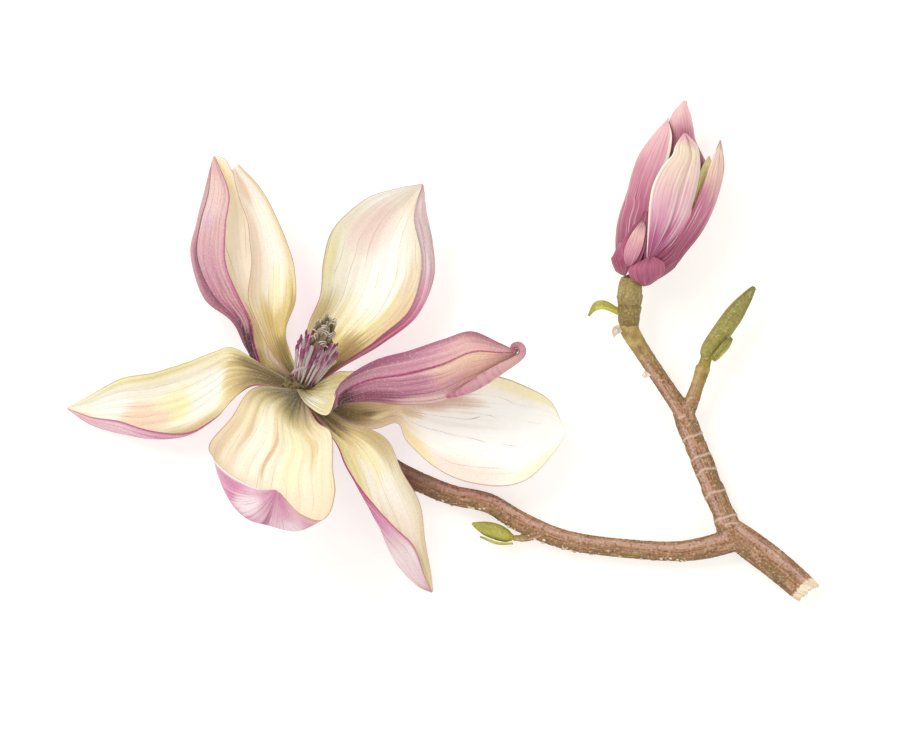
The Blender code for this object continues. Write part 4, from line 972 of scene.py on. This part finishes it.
BUD_SLIVER = (
    [(134, 54, -0.8), (138, 62, -0.8), (141.2, 71.7, -0.8), (142, 76.4, -0.8), (143.4, 79.6, -0.6),
     (145.4, 82.4, 0)],
    [(139, 54, -0.6), (142.4, 62, -0.6), (144.8, 70, -0.4), (146.4, 76, 0), (146.6, 79.6, 0.4),
     (145.6, 82.4, 0.6)],
)
BUD_UNDER = (
    [(121.6, 44.6, 0.4), (122.6, 52, 0.5), (124.6, 60, 0.5), (128, 67, 0.4), (132, 73, 0.2)],
    [(126, 44.4, 0.8), (133.6, 51, 0.8), (137.4, 57, 0.8), (139.4, 63.4, 0.6), (136, 73.4, 0.2)],
)
BUD_CORE = BUD_LINE[1:7] + [
    (135.2, 88.6, 15, 7.4), (135.3, 93.6, 15.1, 6.4), (135.9, 98, 15.2, 5.0), (136.6, 101.2, 15.3, 3.0),
    (136.9, 102.4, 15.3, 2.6),
]
BUD_CORE_INSET = 1.8
BUD_MIDDLE = np.array((134, 80, 14.6))
BUD_PETAL_THICKNESS, BUD_BACK_THICKNESS = 0.4, 0.5
BUD_LOBE = (
    [(112.4, 38.6, -0.4), (110.8, 40.2, 0.6), (110.1, 43, 1.8), (110.7, 45.6, 2), (112, 48.6, 1.2),
     (113.5, 51.6, 0.6)],
    [(115.4, 39.2, 0), (116.2, 41, 1.2), (116, 43.6, 1.6), (115.4, 46, 1.6), (114.8, 48.8, 1),
     (113.9, 51.4, 0.6)],
)
BUD_SPOON = (
    [(115.6, 41.4, 1), (113.6, 45, 1.8), (113.2, 49, 1.6), (115, 52.8, 1.3), (117.5, 56.6, 1.1),
     (120.2, 60, 0.9), (122.2, 62.8, 0.7)],
    [(118.3, 41.4, 1), (120.6, 44.6, 1.2), (122, 48.4, 1.2), (123.1, 53.8, 1), (123.7, 57.6, 0.9),
     (123.6, 60.6, 0.8), (122.6, 62.9, 0.7)],
)
BUD_PEARL = (
    [(115.8, 42.6, 1.2), (114.7, 46.4, 2.2), (115.5, 50.4, 2.2), (117.6, 54.6, 1.9), (119.8, 57.4, 1.6),
     (121.6, 59.2, 1.4)],
    [(117.7, 42.8, 1.4), (119.8, 46, 2.2), (121.2, 49.4, 2.2), (122.1, 53.4, 1.9), (122.5, 56.6, 1.6),
     (121.9, 59.2, 1.4)],
)
BUD_SKIRT = (
    [(121.4, 35.4, 0.5), (118.4, 37.2, 1.2), (116.6, 39.8, 1.8), (116.6, 42, 1.8), (119, 43.6, 1.6),
     (121.6, 45, 1.4), (123.6, 46.2, 1.2)],
    [(122.2, 35.4, 0.5), (126, 37.2, 1.2), (129, 40.2, 1.8), (129.4, 43.4, 1.8), (127.8, 45, 1.6),
     (126, 46, 1.4), (124.2, 46.3, 1.2)],
)


class Spindle:
    """The bud's own round surface, which its tepals lie on."""

    def __init__(self, stations):
        self.line = catmull_rom(stations, np.linspace(0, len(stations) - 1, 600))
        ahead = headings(self.line[:, :2])
        self.side = np.stack([ahead[:, 1], -ahead[:, 0]], axis=1)

    def place(self, x, y, lift):
        """(how far along, angle round) of the point at x, y on the surface with this lift."""
        flat = np.array((x, y))
        index = int(np.argmin(np.linalg.norm(self.line[:, :2] - flat, axis=1)))
        across = (flat - self.line[index, :2]).dot(self.side[index])
        reach = max(self.line[index, 3] + lift, 0.1)
        return index / (len(self.line) - 1), math.acos(max(-1.0, min(1.0, across / reach)))

    def point(self, along, angle, lift):
        index = along * (len(self.line) - 1)
        samples = np.arange(len(self.line))
        centre = np.stack([np.interp(index, samples, self.line[:, k]) for k in range(4)], axis=-1)
        side = np.stack([np.interp(index, samples, self.side[:, k]) for k in range(2)], axis=-1)
        reach = centre[..., 3] + lift
        flat = centre[..., :2] + side * (np.cos(angle) * reach)[..., None]
        return np.concatenate([flat, (centre[..., 2] + np.sin(angle) * reach)[..., None]], axis=-1)


def bud_sheet(spindle, margins, rows=90, columns=56, tuck=0.0, crown=0.0, crease=0.0, crease_at=0.0,
              ripple=0.12, seed=0.0):
    """A bud tepal between two margins. It can tuck under at its left, swell, and fold along a crease."""
    placed = []
    for margin in margins:
        smooth = catmull_rom(margin, np.linspace(0, len(margin) - 1, rows))
        where = np.array([spindle.place(x, y, lift) for x, y, lift in smooth])
        placed.append(np.concatenate([where, smooth[:, 2:]], axis=1))
    left, right = placed
    share = np.linspace(0, 1, columns)[None, :, None]
    grid = left[:, None, :] * (1 - share) + right[:, None, :] * share
    u, v = sheet_uv(rows, columns)
    grid[..., 1] += tuck * smoothstep(0.0, -1.0, u) * smoothstep(1.0, 0.8, v)
    belly = np.sin(math.pi * np.clip(v, 0, 1)) ** 0.6
    lift = grid[..., 2] + crown * (1 - u**2) * belly
    lift = lift - crease * np.exp(-(((u - crease_at) / 0.16) ** 2)) * smoothstep(0.02, 0.2, v)
    lift = lift + ripple * np.cos(2 * math.pi * (u * 4 + smooth_noise(u * 1.4, v * 2.2, seed))) * belly
    return spindle.point(grid[..., 0], grid[..., 1], lift)


def bud_paint(name, stops, streak="F1D2CF", edge=None, edge_side=0.0, seed=0.0):
    """A bud tepal's back: stops run from its base to its tip."""
    paint = Paint(name, roughness=0.5, specular=0.25, sheen=0.1, scatter=0.05)
    u, v = paint.value("petal_u"), paint.value("petal_v")
    cloud = paint.streaks(u, 1.6, v, 3.0, seed)
    line = paint.streaks(u, 13.0, v, 1.6, seed + 2, 4.0)
    reach = paint.math("ADD", v, paint.times(paint.math("SUBTRACT", cloud, 0.5), 0.3))
    base = paint.ramp(reach, stops)
    base = paint.tints(base, (line, 0.52, 0.72, 0.55, streak), (line, 0.46, 0.28, 0.45, "A8406E"))
    veins = vein_lines(paint, u, v, 11, 0.07, seed + 3)
    base = paint.wash(veins, 0.45, base, "7A3A52")
    if edge:
        place = u if edge_side > 0 else paint.times(u, -1.0)
        base = paint.tints(base, (place, 0.84, 0.94, 0.9, edge))
    height = paint.math("MULTIPLY_ADD", line, 0.8, paint.times(veins, -0.5))
    return paint.done(base, height, strength=0.25)


# The looks of the bud's tepals: their colours from base to tip, and what else sets each one apart.
BUD_LOOKS = {
    "bud_mauve": ([
        (0.0, "8C4460"), (0.35, "B4647F"), (0.6, "CE8E9F"), (0.85, "E6B9BC"), (1.0, "DFA9B2"),
    ], {"edge": "FAF3E4", "edge_side": 1.0, "seed": 31.0}),
    "bud_cream_pink": ([
        (0.0, "8E3F66"), (0.15, "B5648C"), (0.35, "DDA9B9"), (0.6, "EBCDC0"), (0.85, "ECDCC0"),
        (1.0, "D9A0AE"),
    ], {"streak": "F6EBDD", "edge": "FAF2E2", "edge_side": -1.0, "seed": 35.0}),
    "bud_rose": ([
        (0.0, "8C3F5C"), (0.3, "A85674"), (0.5, "C87796"), (0.7, "E9C3B6"), (0.9, "F1DCCB"),
        (1.0, "C98C86"),
    ], {"streak": "F4E3D8", "edge": "C23C7F", "edge_side": 1.0, "seed": 41.0}),
    "bud_plum": ([
        (0.0, "93405F"), (0.5, "A04868"), (1.0, "BF6F90"),
    ], {"streak": "D99AAE", "edge": "E7B6C6", "edge_side": -1.0, "seed": 45.0}),
    "bud_dark": ([(0.0, "A24A6A"), (0.5, "BB6A84"), (1.0, "8A4560")], {"streak": "E3ABB2", "seed": 47.0}),
    "bud_pink": ([
        (0.0, "6B3048"), (0.45, "7C3A55"), (0.56, "A25470"), (0.66, "CC8AA0"), (0.78, "EABDBA"),
        (1.0, "ECC0BE"),
    ], {"streak": "F6DFC9", "seed": 51.0}),
    "bud_oval": ([(0.0, "B0577A"), (0.3, "D795A8"), (0.6, "EBC0B8"), (1.0, "8A4560")], {"seed": 55.0}),
}


def build_bud():
    spindle = Spindle(BUD_LINE)
    stops = [(0.0, "8A7A40"), (0.4, "C9BB72"), (0.8, "E8DFB0"), (1.0, "D9B98F")]
    inner = petal_inside("bud_inner_face", stops=stops, seed=21.0)
    left, front, right, plum, dark, tip, pearl = (
        bud_paint(name, stops, **settings) for name, (stops, settings) in BUD_LOOKS.items()
    )
    pieces = [
        ("bud_left", BUD_LEFT, left, ["bud_tepal_left"], {"tuck": 0.6, "crown": 0.5, "seed": 1.0}),
        ("bud_right", BUD_RIGHT, right, ["bud_tepal_right"], {"crown": 0.6, "seed": 2.0}),
        ("bud_sliver", BUD_SLIVER, inner, [], {"crown": 0.2, "seed": 3.0}),
        ("bud_under", BUD_UNDER, right, [], {"crown": 0.3, "crease": 0.4, "crease_at": 0.4, "seed": 9.0}),
        ("bud_front", BUD_FRONT, front, ["bud_tepal_front"],
         {"crown": 1.1, "crease": 1.2, "crease_at": 0.32, "seed": 4.0, "columns": 72}),
        ("bud_lobe", BUD_LOBE, plum, ["bud_scale"], {"crown": 0.5, "seed": 5.0}),
        ("bud_spoon", BUD_SPOON, dark, [], {"crown": -1.0, "seed": 6.0}),
        ("bud_oval", BUD_PEARL, pearl, ["bud_tepal_base"], {"crown": 0.9, "seed": 7.0}),
        ("bud_skirt", BUD_SKIRT, dark, ["bud_lower_scale"],
         {"crown": 0.6, "crease": 0.5, "crease_at": 0.2, "seed": 8.0}),
    ]
    for name, margins, material, nodes, settings in pieces:
        shape = closed_sheet(bud_sheet(spindle, margins, **settings), BUD_PETAL_THICKNESS, rim_inside=True)
        add_piece(name, shape, [material, inner], nodes)
    along, angle = np.linspace(0.05, 0.68, 70)[:, None], np.radians(np.linspace(-12, -172, 60))[None, :]
    under = spindle.point(along + 0 * angle, angle + 0 * along, -0.5 + 0.25 * np.cos(angle * 9 + 5 * along))
    back = closed_sheet(under[:, ::-1], BUD_BACK_THICKNESS)
    add_piece("bud_back", back, [left, left], ["bud_tepal_back"])
    core = [(x, y, z, radius - BUD_CORE_INSET) for x, y, z, radius in BUD_CORE]
    shape = tube(core, sides=48, steps=10, roundness=0.05)
    shape.values = {
        "petal_v": shape.values["tube_v"],
        "petal_u": np.arctan2(*(shape.points - BUD_MIDDLE)[:, [0, 2]].T) / math.pi * 2,
    }
    add_piece("bud_heart", shape, [tip], ["bud_core"])


# ---------------------------------------------------------------- twig

VOXEL = 0.36  # mm, the size of the twig's own mesh


def nearest_on(line, points):
    """Index along a sampled line of the sample nearest each point."""
    found = np.empty(len(points), int)
    for start in range(0, len(points), 4000):
        block = points[start : start + 4000]
        gaps = np.linalg.norm(block[:, None, :] - line[None, :, :3], axis=2)
        found[start : start + 4000] = gaps.argmin(axis=1)
    return found


def fused(shapes):
    """The outer surface of overlapping closed shapes, as one even mesh. Points come back in millimetres."""
    shape = Shape.joined([Shape(s.points, s.faces) for s in shapes])
    mesh = bpy.data.meshes.new("fusing")
    mesh.from_pydata((shape.points * MM).tolist(), [], shape.faces)
    solid = bpy.data.objects.new("fusing", mesh)
    bpy.context.collection.objects.link(solid)
    remesh = solid.modifiers.new("remesh", "REMESH")
    remesh.mode = "VOXEL"
    remesh.voxel_size = VOXEL * MM
    soften = solid.modifiers.new("soften", "SMOOTH")
    soften.factor = 0.5
    soften.iterations = 2
    graph = bpy.context.evaluated_depsgraph_get()
    result = solid.evaluated_get(graph).to_mesh()
    points = np.empty(len(result.vertices) * 3, np.float32)
    result.vertices.foreach_get("co", points)
    normals = np.empty(len(result.vertices) * 3, np.float32)
    result.vertices.foreach_get("normal", normals)
    faces = [tuple(face.vertices) for face in result.polygons]
    solid.evaluated_get(graph).to_mesh_clear()
    bpy.data.objects.remove(solid)
    bpy.data.meshes.remove(mesh)
    return points.reshape(-1, 3) / MM, normals.reshape(-1, 3), faces


# The rods of the twig, numbered in this order.
TWIG_LINES = (MAIN_STEM, FLOWER_TWIG, BUD_SHOOT, BUD_ARM, LEAF_ARM, SIDE_BUD_STALK)
STEM, TWIG, SHOOT, ARM, LEAF, SIDE = range(len(TWIG_LINES))
STEM_END = np.array((180.7, -74.2))
STEM_HEADING = np.array((10.7, -9.2)) / math.hypot(10.7, 9.2)
STEM_RADIUS = 5.0
SCARS = (0.06, 0.12, 0.32, 0.5, 0.61, 0.77, 0.93)  # ring scars, as fractions along the bud shoot
LENTICEL_COUNT = 64
BEAD = ((-1.2, 0.2), (-0.6, 0.8), (0.6, 0.8), (1.2, 0.2))  # (along, radius) in its own sizes


def bark_paint():
    paint = Paint("bark_brown", roughness=0.72, specular=0.22)
    across, scar, young = paint.value("across"), paint.value("scar"), paint.value("young")
    wood, along, under_flower_shade = paint.value("wood"), paint.value("along"), paint.value("under_flower_shade")
    mottle = paint.grain(260, 4.0)
    speck = paint.grain(1100, 3.0)
    fibre = paint.streaks(across, 7.0, along, 0.12, 3.0, 4.0)
    base = paint.ramp(fibre, [(0.25, "6E4A34"), (0.42, "99704F"), (0.55, "B08667"), (0.75, "CBA98C")])
    lit = paint.times(paint.band(across, 0.1, 0.4), paint.band(across, 0.75, 0.5))
    base = paint.wash(lit, 0.55, base, "D3ACA2")
    olive = paint.times(paint.band(across, 0.2, -0.8), paint.band(mottle, 0.42, 0.6))
    base = paint.wash(olive, 0.75, base, "7E6B42")
    # Painted shade: the bark darkens towards both sides, where the round twig turns away from the light.
    rim = paint.band(paint.math("ABSOLUTE", across), 0.7, 1.0)
    base = paint.wash(rim, 0.45, base, "6B4632")
    base = paint.tints(base, (speck, 0.56, 0.68, 0.5, "E0C9A8"), (speck, 0.44, 0.32, 0.6, "4F3222"))
    green = paint.ramp(mottle, [(0.3, "8A743C"), (0.5, "AE9656"), (0.7, "D2C07C")])
    base = paint.wash(young, 0.8, base, green)
    # Painted shade where the flower's twig runs in under the tepals.
    base = paint.wash(under_flower_shade, 0.6, base, "4E3F2C")
    base = paint.wash(scar, 0.8, base, "E0C8B8")
    base = paint.mix(wood, base, paint.ramp(fibre, [(0.3, "E6CBA4"), (0.7, "FDF2DC")]))
    height = paint.math("MULTIPLY_ADD", fibre, 0.6, paint.times(speck, 0.5))
    return paint.done(base, height, strength=0.5, distance=0.0005)


def build_twig():
    rods = [
        tube(MAIN_STEM + [(184, -76.9, 5.2, 4.6)], sides=40, steps=6, roundness=0.05),
        tube(FLOWER_TWIG, sides=36, steps=8),
        tube(BUD_SHOOT, sides=36, steps=6),
        tube(BUD_ARM + [(116.8, 22.6, 12.6, 3.3)], sides=32, steps=8, roundness=0.1),
        tube(LEAF_ARM, sides=28, steps=8),
        tube(SIDE_BUD_STALK, sides=20, steps=6),
    ]
    points, normals, faces = fused(rods)
    lines = []
    for number, stations in enumerate(TWIG_LINES):
        line = catmull_rom(stations, np.linspace(0, len(stations) - 1, 24 * (len(stations) - 1)))
        run = run_along(line)
        lines.append(np.column_stack([line, np.full(len(line), number), run, run / run[-1]]))
    line = np.concatenate(lines)
    ahead = headings(line[:, :2])
    near = nearest_on(line, points)
    part, run, share = line[near, 4], line[near, 5], line[near, 6]
    side = np.stack([-ahead[near, 1], ahead[near, 0]], axis=1)
    across = np.clip(((points[:, :2] - line[near, :2]) * side).sum(axis=1) / line[near, 3], -1, 1)
    scar = np.zeros(len(points))
    for place in SCARS:
        wobble = 0.022 * (1 - across**2) + 0.005 * np.sin(4.0 * across + 40 * place)
        ring = np.exp(-(((share - place - wobble) / 0.008) ** 2))
        scar = np.maximum(scar, np.where(part == SHOOT, ring, 0))
    young = np.where(part == ARM, smoothstep(0.5, 0.95, share), 0)
    young = np.maximum(young, np.where(part == LEAF, smoothstep(0.25, 0.9, share), 0))
    young = np.maximum(young, np.where(part == SIDE, 0.45 * smoothstep(0.3, 0.7, share), 0))
    rough, fine = (smooth_noise(*(points * scale).T) for scale in (0.9, 2.4))
    height = 0.12 * rough + 0.1 * fine + 0.28 * scar
    points = points + normals * height[:, None]
    # The stem's torn end: two prongs with a hollow between them, and pale wood where the bark stops.
    from_end = (points[:, :2] - STEM_END) @ STEM_HEADING
    offset = (points[:, :2] - STEM_END) @ np.array((-STEM_HEADING[1], STEM_HEADING[0])) / STEM_RADIUS
    fibre = smooth_noise(offset * 6, points[:, 2] * 1.3, 4.0)
    pull = smoothstep(-5.0, 3.5, from_end) * np.where(part == STEM, 1, 0)
    prongs = -4.2 + 3.4 * np.abs(offset - 0.1) ** 1.3 + 1.3 * fibre - 3.0 * smoothstep(0.0, -0.9, offset)
    points[:, :2] += STEM_HEADING * (pull * prongs)[:, None]
    ragged = smooth_noise(offset * 5, points[:, 2], 9.0) * 2.2
    wood = np.where(part == STEM, smoothstep(-1.8, 0.2, from_end + ragged), 0)
    # Painted shade: the flower's twig darkens towards the flower, where it runs in under the tepals.
    under_flower_shade = np.where(part == TWIG, smoothstep(62.0, 38.0, points[:, 0]), 0)
    values = {"across": across, "along": run, "scar": scar, "young": young, "wood": wood, "under_flower_shade": under_flower_shade}
    add_piece("twig", Shape(points, faces, values), [bark_paint()], ["branch"])


def build_lenticels():
    """Tiny pale bumps, most of them along the lower side of the flower's twig."""
    paint = Paint("lenticel_pearl", roughness=0.35, specular=0.5)
    base = paint.ramp(paint.grain(900), [(0.35, "B99C7C"), (0.6, "EADBC4")])
    material = paint.done(base, paint.grain(2500))
    draw = np.random.default_rng(7)
    twig = catmull_rom(FLOWER_TWIG, np.linspace(7.2, 13.6, 400))
    ahead = headings(twig[:, :3])
    beads = []
    for _ in range(LENTICEL_COUNT):
        k = int(draw.uniform(0, 399))
        turn = math.radians(draw.normal(-18, 20))
        side = np.array((ahead[k, 1], -ahead[k, 0], 0))
        out = side * math.cos(turn) + np.array((0, 0, 1)) * math.sin(-turn)
        foot = twig[k, :3] + out * (twig[k, 3] - 0.05)
        size = draw.uniform(0.25, 0.7)
        stations = [(*(foot + ahead[k] * size * s), size * r) for s, r in BEAD]
        beads.append(tube(stations, sides=8, steps=2))
    add_piece("lenticels", Shape.joined(beads), [material])


# ---------------------------------------------------------------- stalk, small buds, bract and scales


def green_paint(name, stops, mottle_colour="7F7430", edge="8A6A3A", seed=0.0):
    paint = Paint(name, roughness=0.55, specular=0.25, scatter=0.04)
    v, turn = paint.value("tube_v"), paint.value("tube_turn")
    line = paint.streaks(turn, 6.0, v, 2.0, seed, 4.0)
    mottle = paint.grain(420, 4.0)
    base = paint.ramp(paint.math("ADD", v, paint.times(paint.math("SUBTRACT", mottle, 0.5), 0.4)), stops)
    base = paint.tints(
        base,
        (line, 0.5, 0.68, 0.5, "E6DE9A"),
        (line, 0.48, 0.3, 0.6, mottle_colour),
        (mottle, 0.56, 0.7, 0.35, edge),
    )
    stipple = paint.grain(1300, 2.0)
    # The first tint is painted shade, darker where tube_turn falls below 0.5, towards the sides away from
    # the rod's lit top.
    base = paint.tints(
        base,
        (turn, 0.5, 0.1, 0.45, mottle_colour),
        (stipple, 0.5, 0.36, 0.35, mottle_colour),
        (stipple, 0.56, 0.7, 0.25, "F0EAB4"),
    )
    return paint.done(base, paint.math("ADD", line, mottle), strength=0.35)


def sheet_piece(rails, thickness):
    """A small scale or bract, with a slight ruffle."""
    grid = sheet_grid(rails, 40, 26)
    u, v = sheet_uv(40, 26)
    lift = 0.06 * np.cos(u * 14 + smooth_noise(u, v * 3) * 3)
    grid = grid + grid_normals(grid) * lift[..., None]
    shape = closed_sheet(grid, thickness)
    shape.values = {"tube_v": shape.values["petal_v"], "tube_turn": shape.values["petal_u"]}
    return shape


def build_small_parts():
    stalk = green_paint(
        "stalk_olive",
        [(0.0, "8E7648"), (0.28, "AE965C"), (0.43, "A68E58"), (0.47, "7A6440"), (0.52, "B09A60"),
         (0.75, "CDBC7E"), (1.0, "BCA660")],
        "6F5A34", "9A7A58", 61.0,
    )
    leaf = green_paint("leaf_bud_green", [(0.0, "C9A63C"), (0.1, "A9984A"), (0.3, "BDB25E"),
                                          (0.7, "B2A85E"), (1.0, "76703E")], "6E6A32", seed=65.0)
    lime = green_paint("side_bud_green", [(0.0, "C9B93C"), (0.4, "D3CB6A"), (1.0, "A7A44A")], "8C8C30",
                       seed=69.0)
    paper = Paint("scale_paper", roughness=0.8, specular=0.15)
    straw = paper.ramp(paper.grain(700), [(0.35, "C9B59A"), (0.65, "F1E8DA")])
    paper = paper.done(straw, paper.grain(1500))
    rings = [
        (117.0, 20.4, 12.5, 3.1), (116.8, 22.4, 12.6, 3.7), (116.7, 24.0, 12.7, 4.0),
        (116.8, 25.4, 12.8, 3.9), (116.9, 26.8, 12.9, 4.2), (116.9, 27.8, 12.9, 4.4),
        (116.9, 28.5, 13, 4.1), (116.9, 29.1, 13, 4.3), (117, 31, 13.1, 4.6), (117, 32.0, 13.2, 4.8),
        (117, 32.8, 13.3, 4.5), (117.1, 34.6, 13.3, 4.4), (117.2, 36.2, 13.4, 4.2),
        (117.4, 38.5, 13.5, 3.6),
    ]
    add_piece("stalk", tube(rings, sides=40, steps=6), [stalk], ["bud_stalk"])
    leaf_line = [
        (143.7, 6.6, 11, 2.3), (144.3, 8.6, 11.1, 2.1), (144.7, 9.9, 11.2, 2.2), (145.2, 11.4, 11.4, 3.0),
        (146.8, 14.1, 11.7, 3.5), (150.6, 19.7, 12, 3.55), (154.2, 24.8, 12.4, 3.5),
        (156.6, 28.2, 12.7, 3.0), (159, 31.4, 12.9, 2.2), (160.6, 33.6, 13.1, 1.5),
        (161.8, 35.1, 13.2, 0.9),
    ]
    add_piece("long_bud", tube(leaf_line, sides=40, steps=8), [leaf], ["leaf_bud"])
    side_line = [
        (74.8, -55.1, 6.4, 1.2), (74, -54.9, 6.4, 1.6), (72.4, -54.4, 6.4, 2.4), (69, -53, 6.5, 2.9),
        (65, -51.7, 6.6, 2.5), (61.8, -50.6, 6.6, 1.3), (60.2, -50, 6.6, 0.4),
    ]
    add_piece("short_bud", tube(side_line, sides=32, steps=8), [lime], ["side_bud"])
    scales = {
        "long_bud_scale": ([
            [(145.8, 9.8, 15), (148.4, 12.8, 16.3), (150.8, 15.6, 16.4), (153.2, 17.4, 15.8)],
            [(146.8, 9, 14.4), (149.4, 11.8, 15.6), (152, 14.6, 15.7), (153.7, 17, 15.4)],
            [(147.8, 8.4, 12.6), (150.6, 10.9, 13.4), (153, 13.8, 14), (154.1, 16.6, 14.8)],
        ], 0.4, leaf, "green", "leaf_bud_scale"),
        "curved_bract": ([
            [(112.8, 27.9, 13.5), (108, 30.4, 14), (104, 29.6, 14), (101.9, 25, 14)],
            [(112.8, 26.6, 15), (108, 28.9, 15.2), (104.4, 28.3, 15), (102.1, 24.9, 14.4)],
            [(112.8, 25.2, 15.5), (108, 27.2, 15.8), (104.8, 26.8, 15.6), (102.3, 24.8, 14.8)],
        ], 0.5, lime, "green", "bract"),
        "short_bud_scale": ([
            [(75, -57.4, 5), (70, -57.3, 5), (66, -56, 5.4), (63, -54.6, 5.8)],
            [(75, -57.3, 6.6), (70, -57.5, 7), (66, -56.2, 7), (63, -54.8, 6.8)],
            [(74.6, -56.8, 8.4), (70, -56.7, 8.9), (66, -55.4, 8.6), (63, -54.4, 7.8)],
        ], 0.35, lime, "green", "side_bud_scale"),
        "papery_scale_left": ([
            [(113, 21.8, 14.4), (111, 20.8, 15.4), (110.7, 18.9, 15.4)],
            [(113.6, 20.4, 14.8), (111.4, 19.4, 16), (111, 17.8, 15.8)],
            [(114.4, 19.2, 14.6), (112.2, 18.1, 15.4), (111.4, 17, 15.2)],
        ], 0.25, paper, "dry_scale", "dry_scale_left"),
        "papery_scale_right": ([
            [(123.6, 5.4, 10.8), (121.8, 4.4, 11.8), (121.5, 3.2, 12)],
            [(124.2, 4.8, 11.8), (122.4, 3.8, 12.8), (122, 2.8, 12.8)],
            [(124.8, 3.6, 12.8), (123.2, 2.8, 13.4), (122.5, 2.3, 13.2)],
        ], 0.25, paper, "dry_scale", "dry_scale_right"),
    }
    for name, (rails, thickness, material, slot, node) in scales.items():
        add_piece(name, sheet_piece(rails, thickness), [material, material], [node])


# ---------------------------------------------------------------- stage, lights and camera

LENS, SENSOR = 600.0, 36.0
VIEW_WIDTH = 324.0
VIEW_CENTRE = (52.2, 6.12)
VIEW_LEVEL = 20.0
WORLD_COLOUR, WORLD_STRENGTH = (1.0, 0.99, 0.965, 1.0), 0.72
FLOOR_REACH = 4.0  # metres
FLOOR_COLOUR = "C4C2BC"
FLOOR_GLOW = ((1.0, 0.995, 0.975, 1.0), 0.6)
# Each lamp: its name, its place and width in metres, its power in watts and its tint.
LAMPS = (
    ("key", (-0.9, 0.9, 1.5), 1.0, 17, (1.0, 0.99, 0.97)),
    ("fill", (1.2, -0.8, 1.3), 1.4, 5, (1.0, 0.99, 0.98)),
)


def build_stage():
    mesh = bpy.data.meshes.new("floor")
    corners = [(x * FLOOR_REACH, y * FLOOR_REACH, 0) for x, y in ((-1, -1), (1, -1), (1, 1), (-1, 1))]
    mesh.from_pydata(corners, [], [(0, 1, 2, 3)])
    floor = bpy.data.objects.new("floor", mesh)
    bpy.context.collection.objects.link(floor)
    paint = Paint("paper_floor", roughness=0.95, specular=0.0)
    paint.glow(*FLOOR_GLOW)
    mesh.materials.append(paint.done(colour(FLOOR_COLOUR)))


def add_light(name, place, size, power, tint):
    lamp = bpy.data.lights.new(name, "AREA")
    lamp.shape = "DISK"
    lamp.size = size
    lamp.energy = power
    lamp.color = tint
    holder = bpy.data.objects.new(name, lamp)
    holder.location = place
    holder.rotation_euler = (-Vector(place)).to_track_quat("-Z", "Y").to_euler()
    bpy.context.collection.objects.link(holder)


def build_lights_and_camera():
    scene = bpy.context.scene
    world = bpy.data.worlds.new("studio")
    world.use_nodes = True
    background = world.node_tree.nodes["Background"].inputs
    background["Color"].default_value = WORLD_COLOUR
    background["Strength"].default_value = WORLD_STRENGTH
    scene.world = world
    for lamp in LAMPS:
        add_light(*lamp)
    camera = bpy.data.cameras.new("camera")
    camera.lens = LENS
    camera.sensor_width = SENSOR
    camera.clip_end = 50
    view = bpy.data.objects.new("camera", camera)
    middle = (np.array((*VIEW_CENTRE, VIEW_LEVEL)) + BOARD_SHIFT) * MM
    view.location = (middle[0], middle[1], middle[2] + VIEW_WIDTH * MM * LENS / SENSOR)
    bpy.context.collection.objects.link(view)
    scene.camera = view
    scene.view_settings.view_transform = "Standard"
    scene.view_settings.look = "None"


build_lights_and_camera()
build_stage()
build_open_flower()
build_rolled_rim()
build_stamens()
build_carpels()
build_bud()
build_twig()
build_lenticels()
build_small_parts()

bpy.context.view_layer.update()
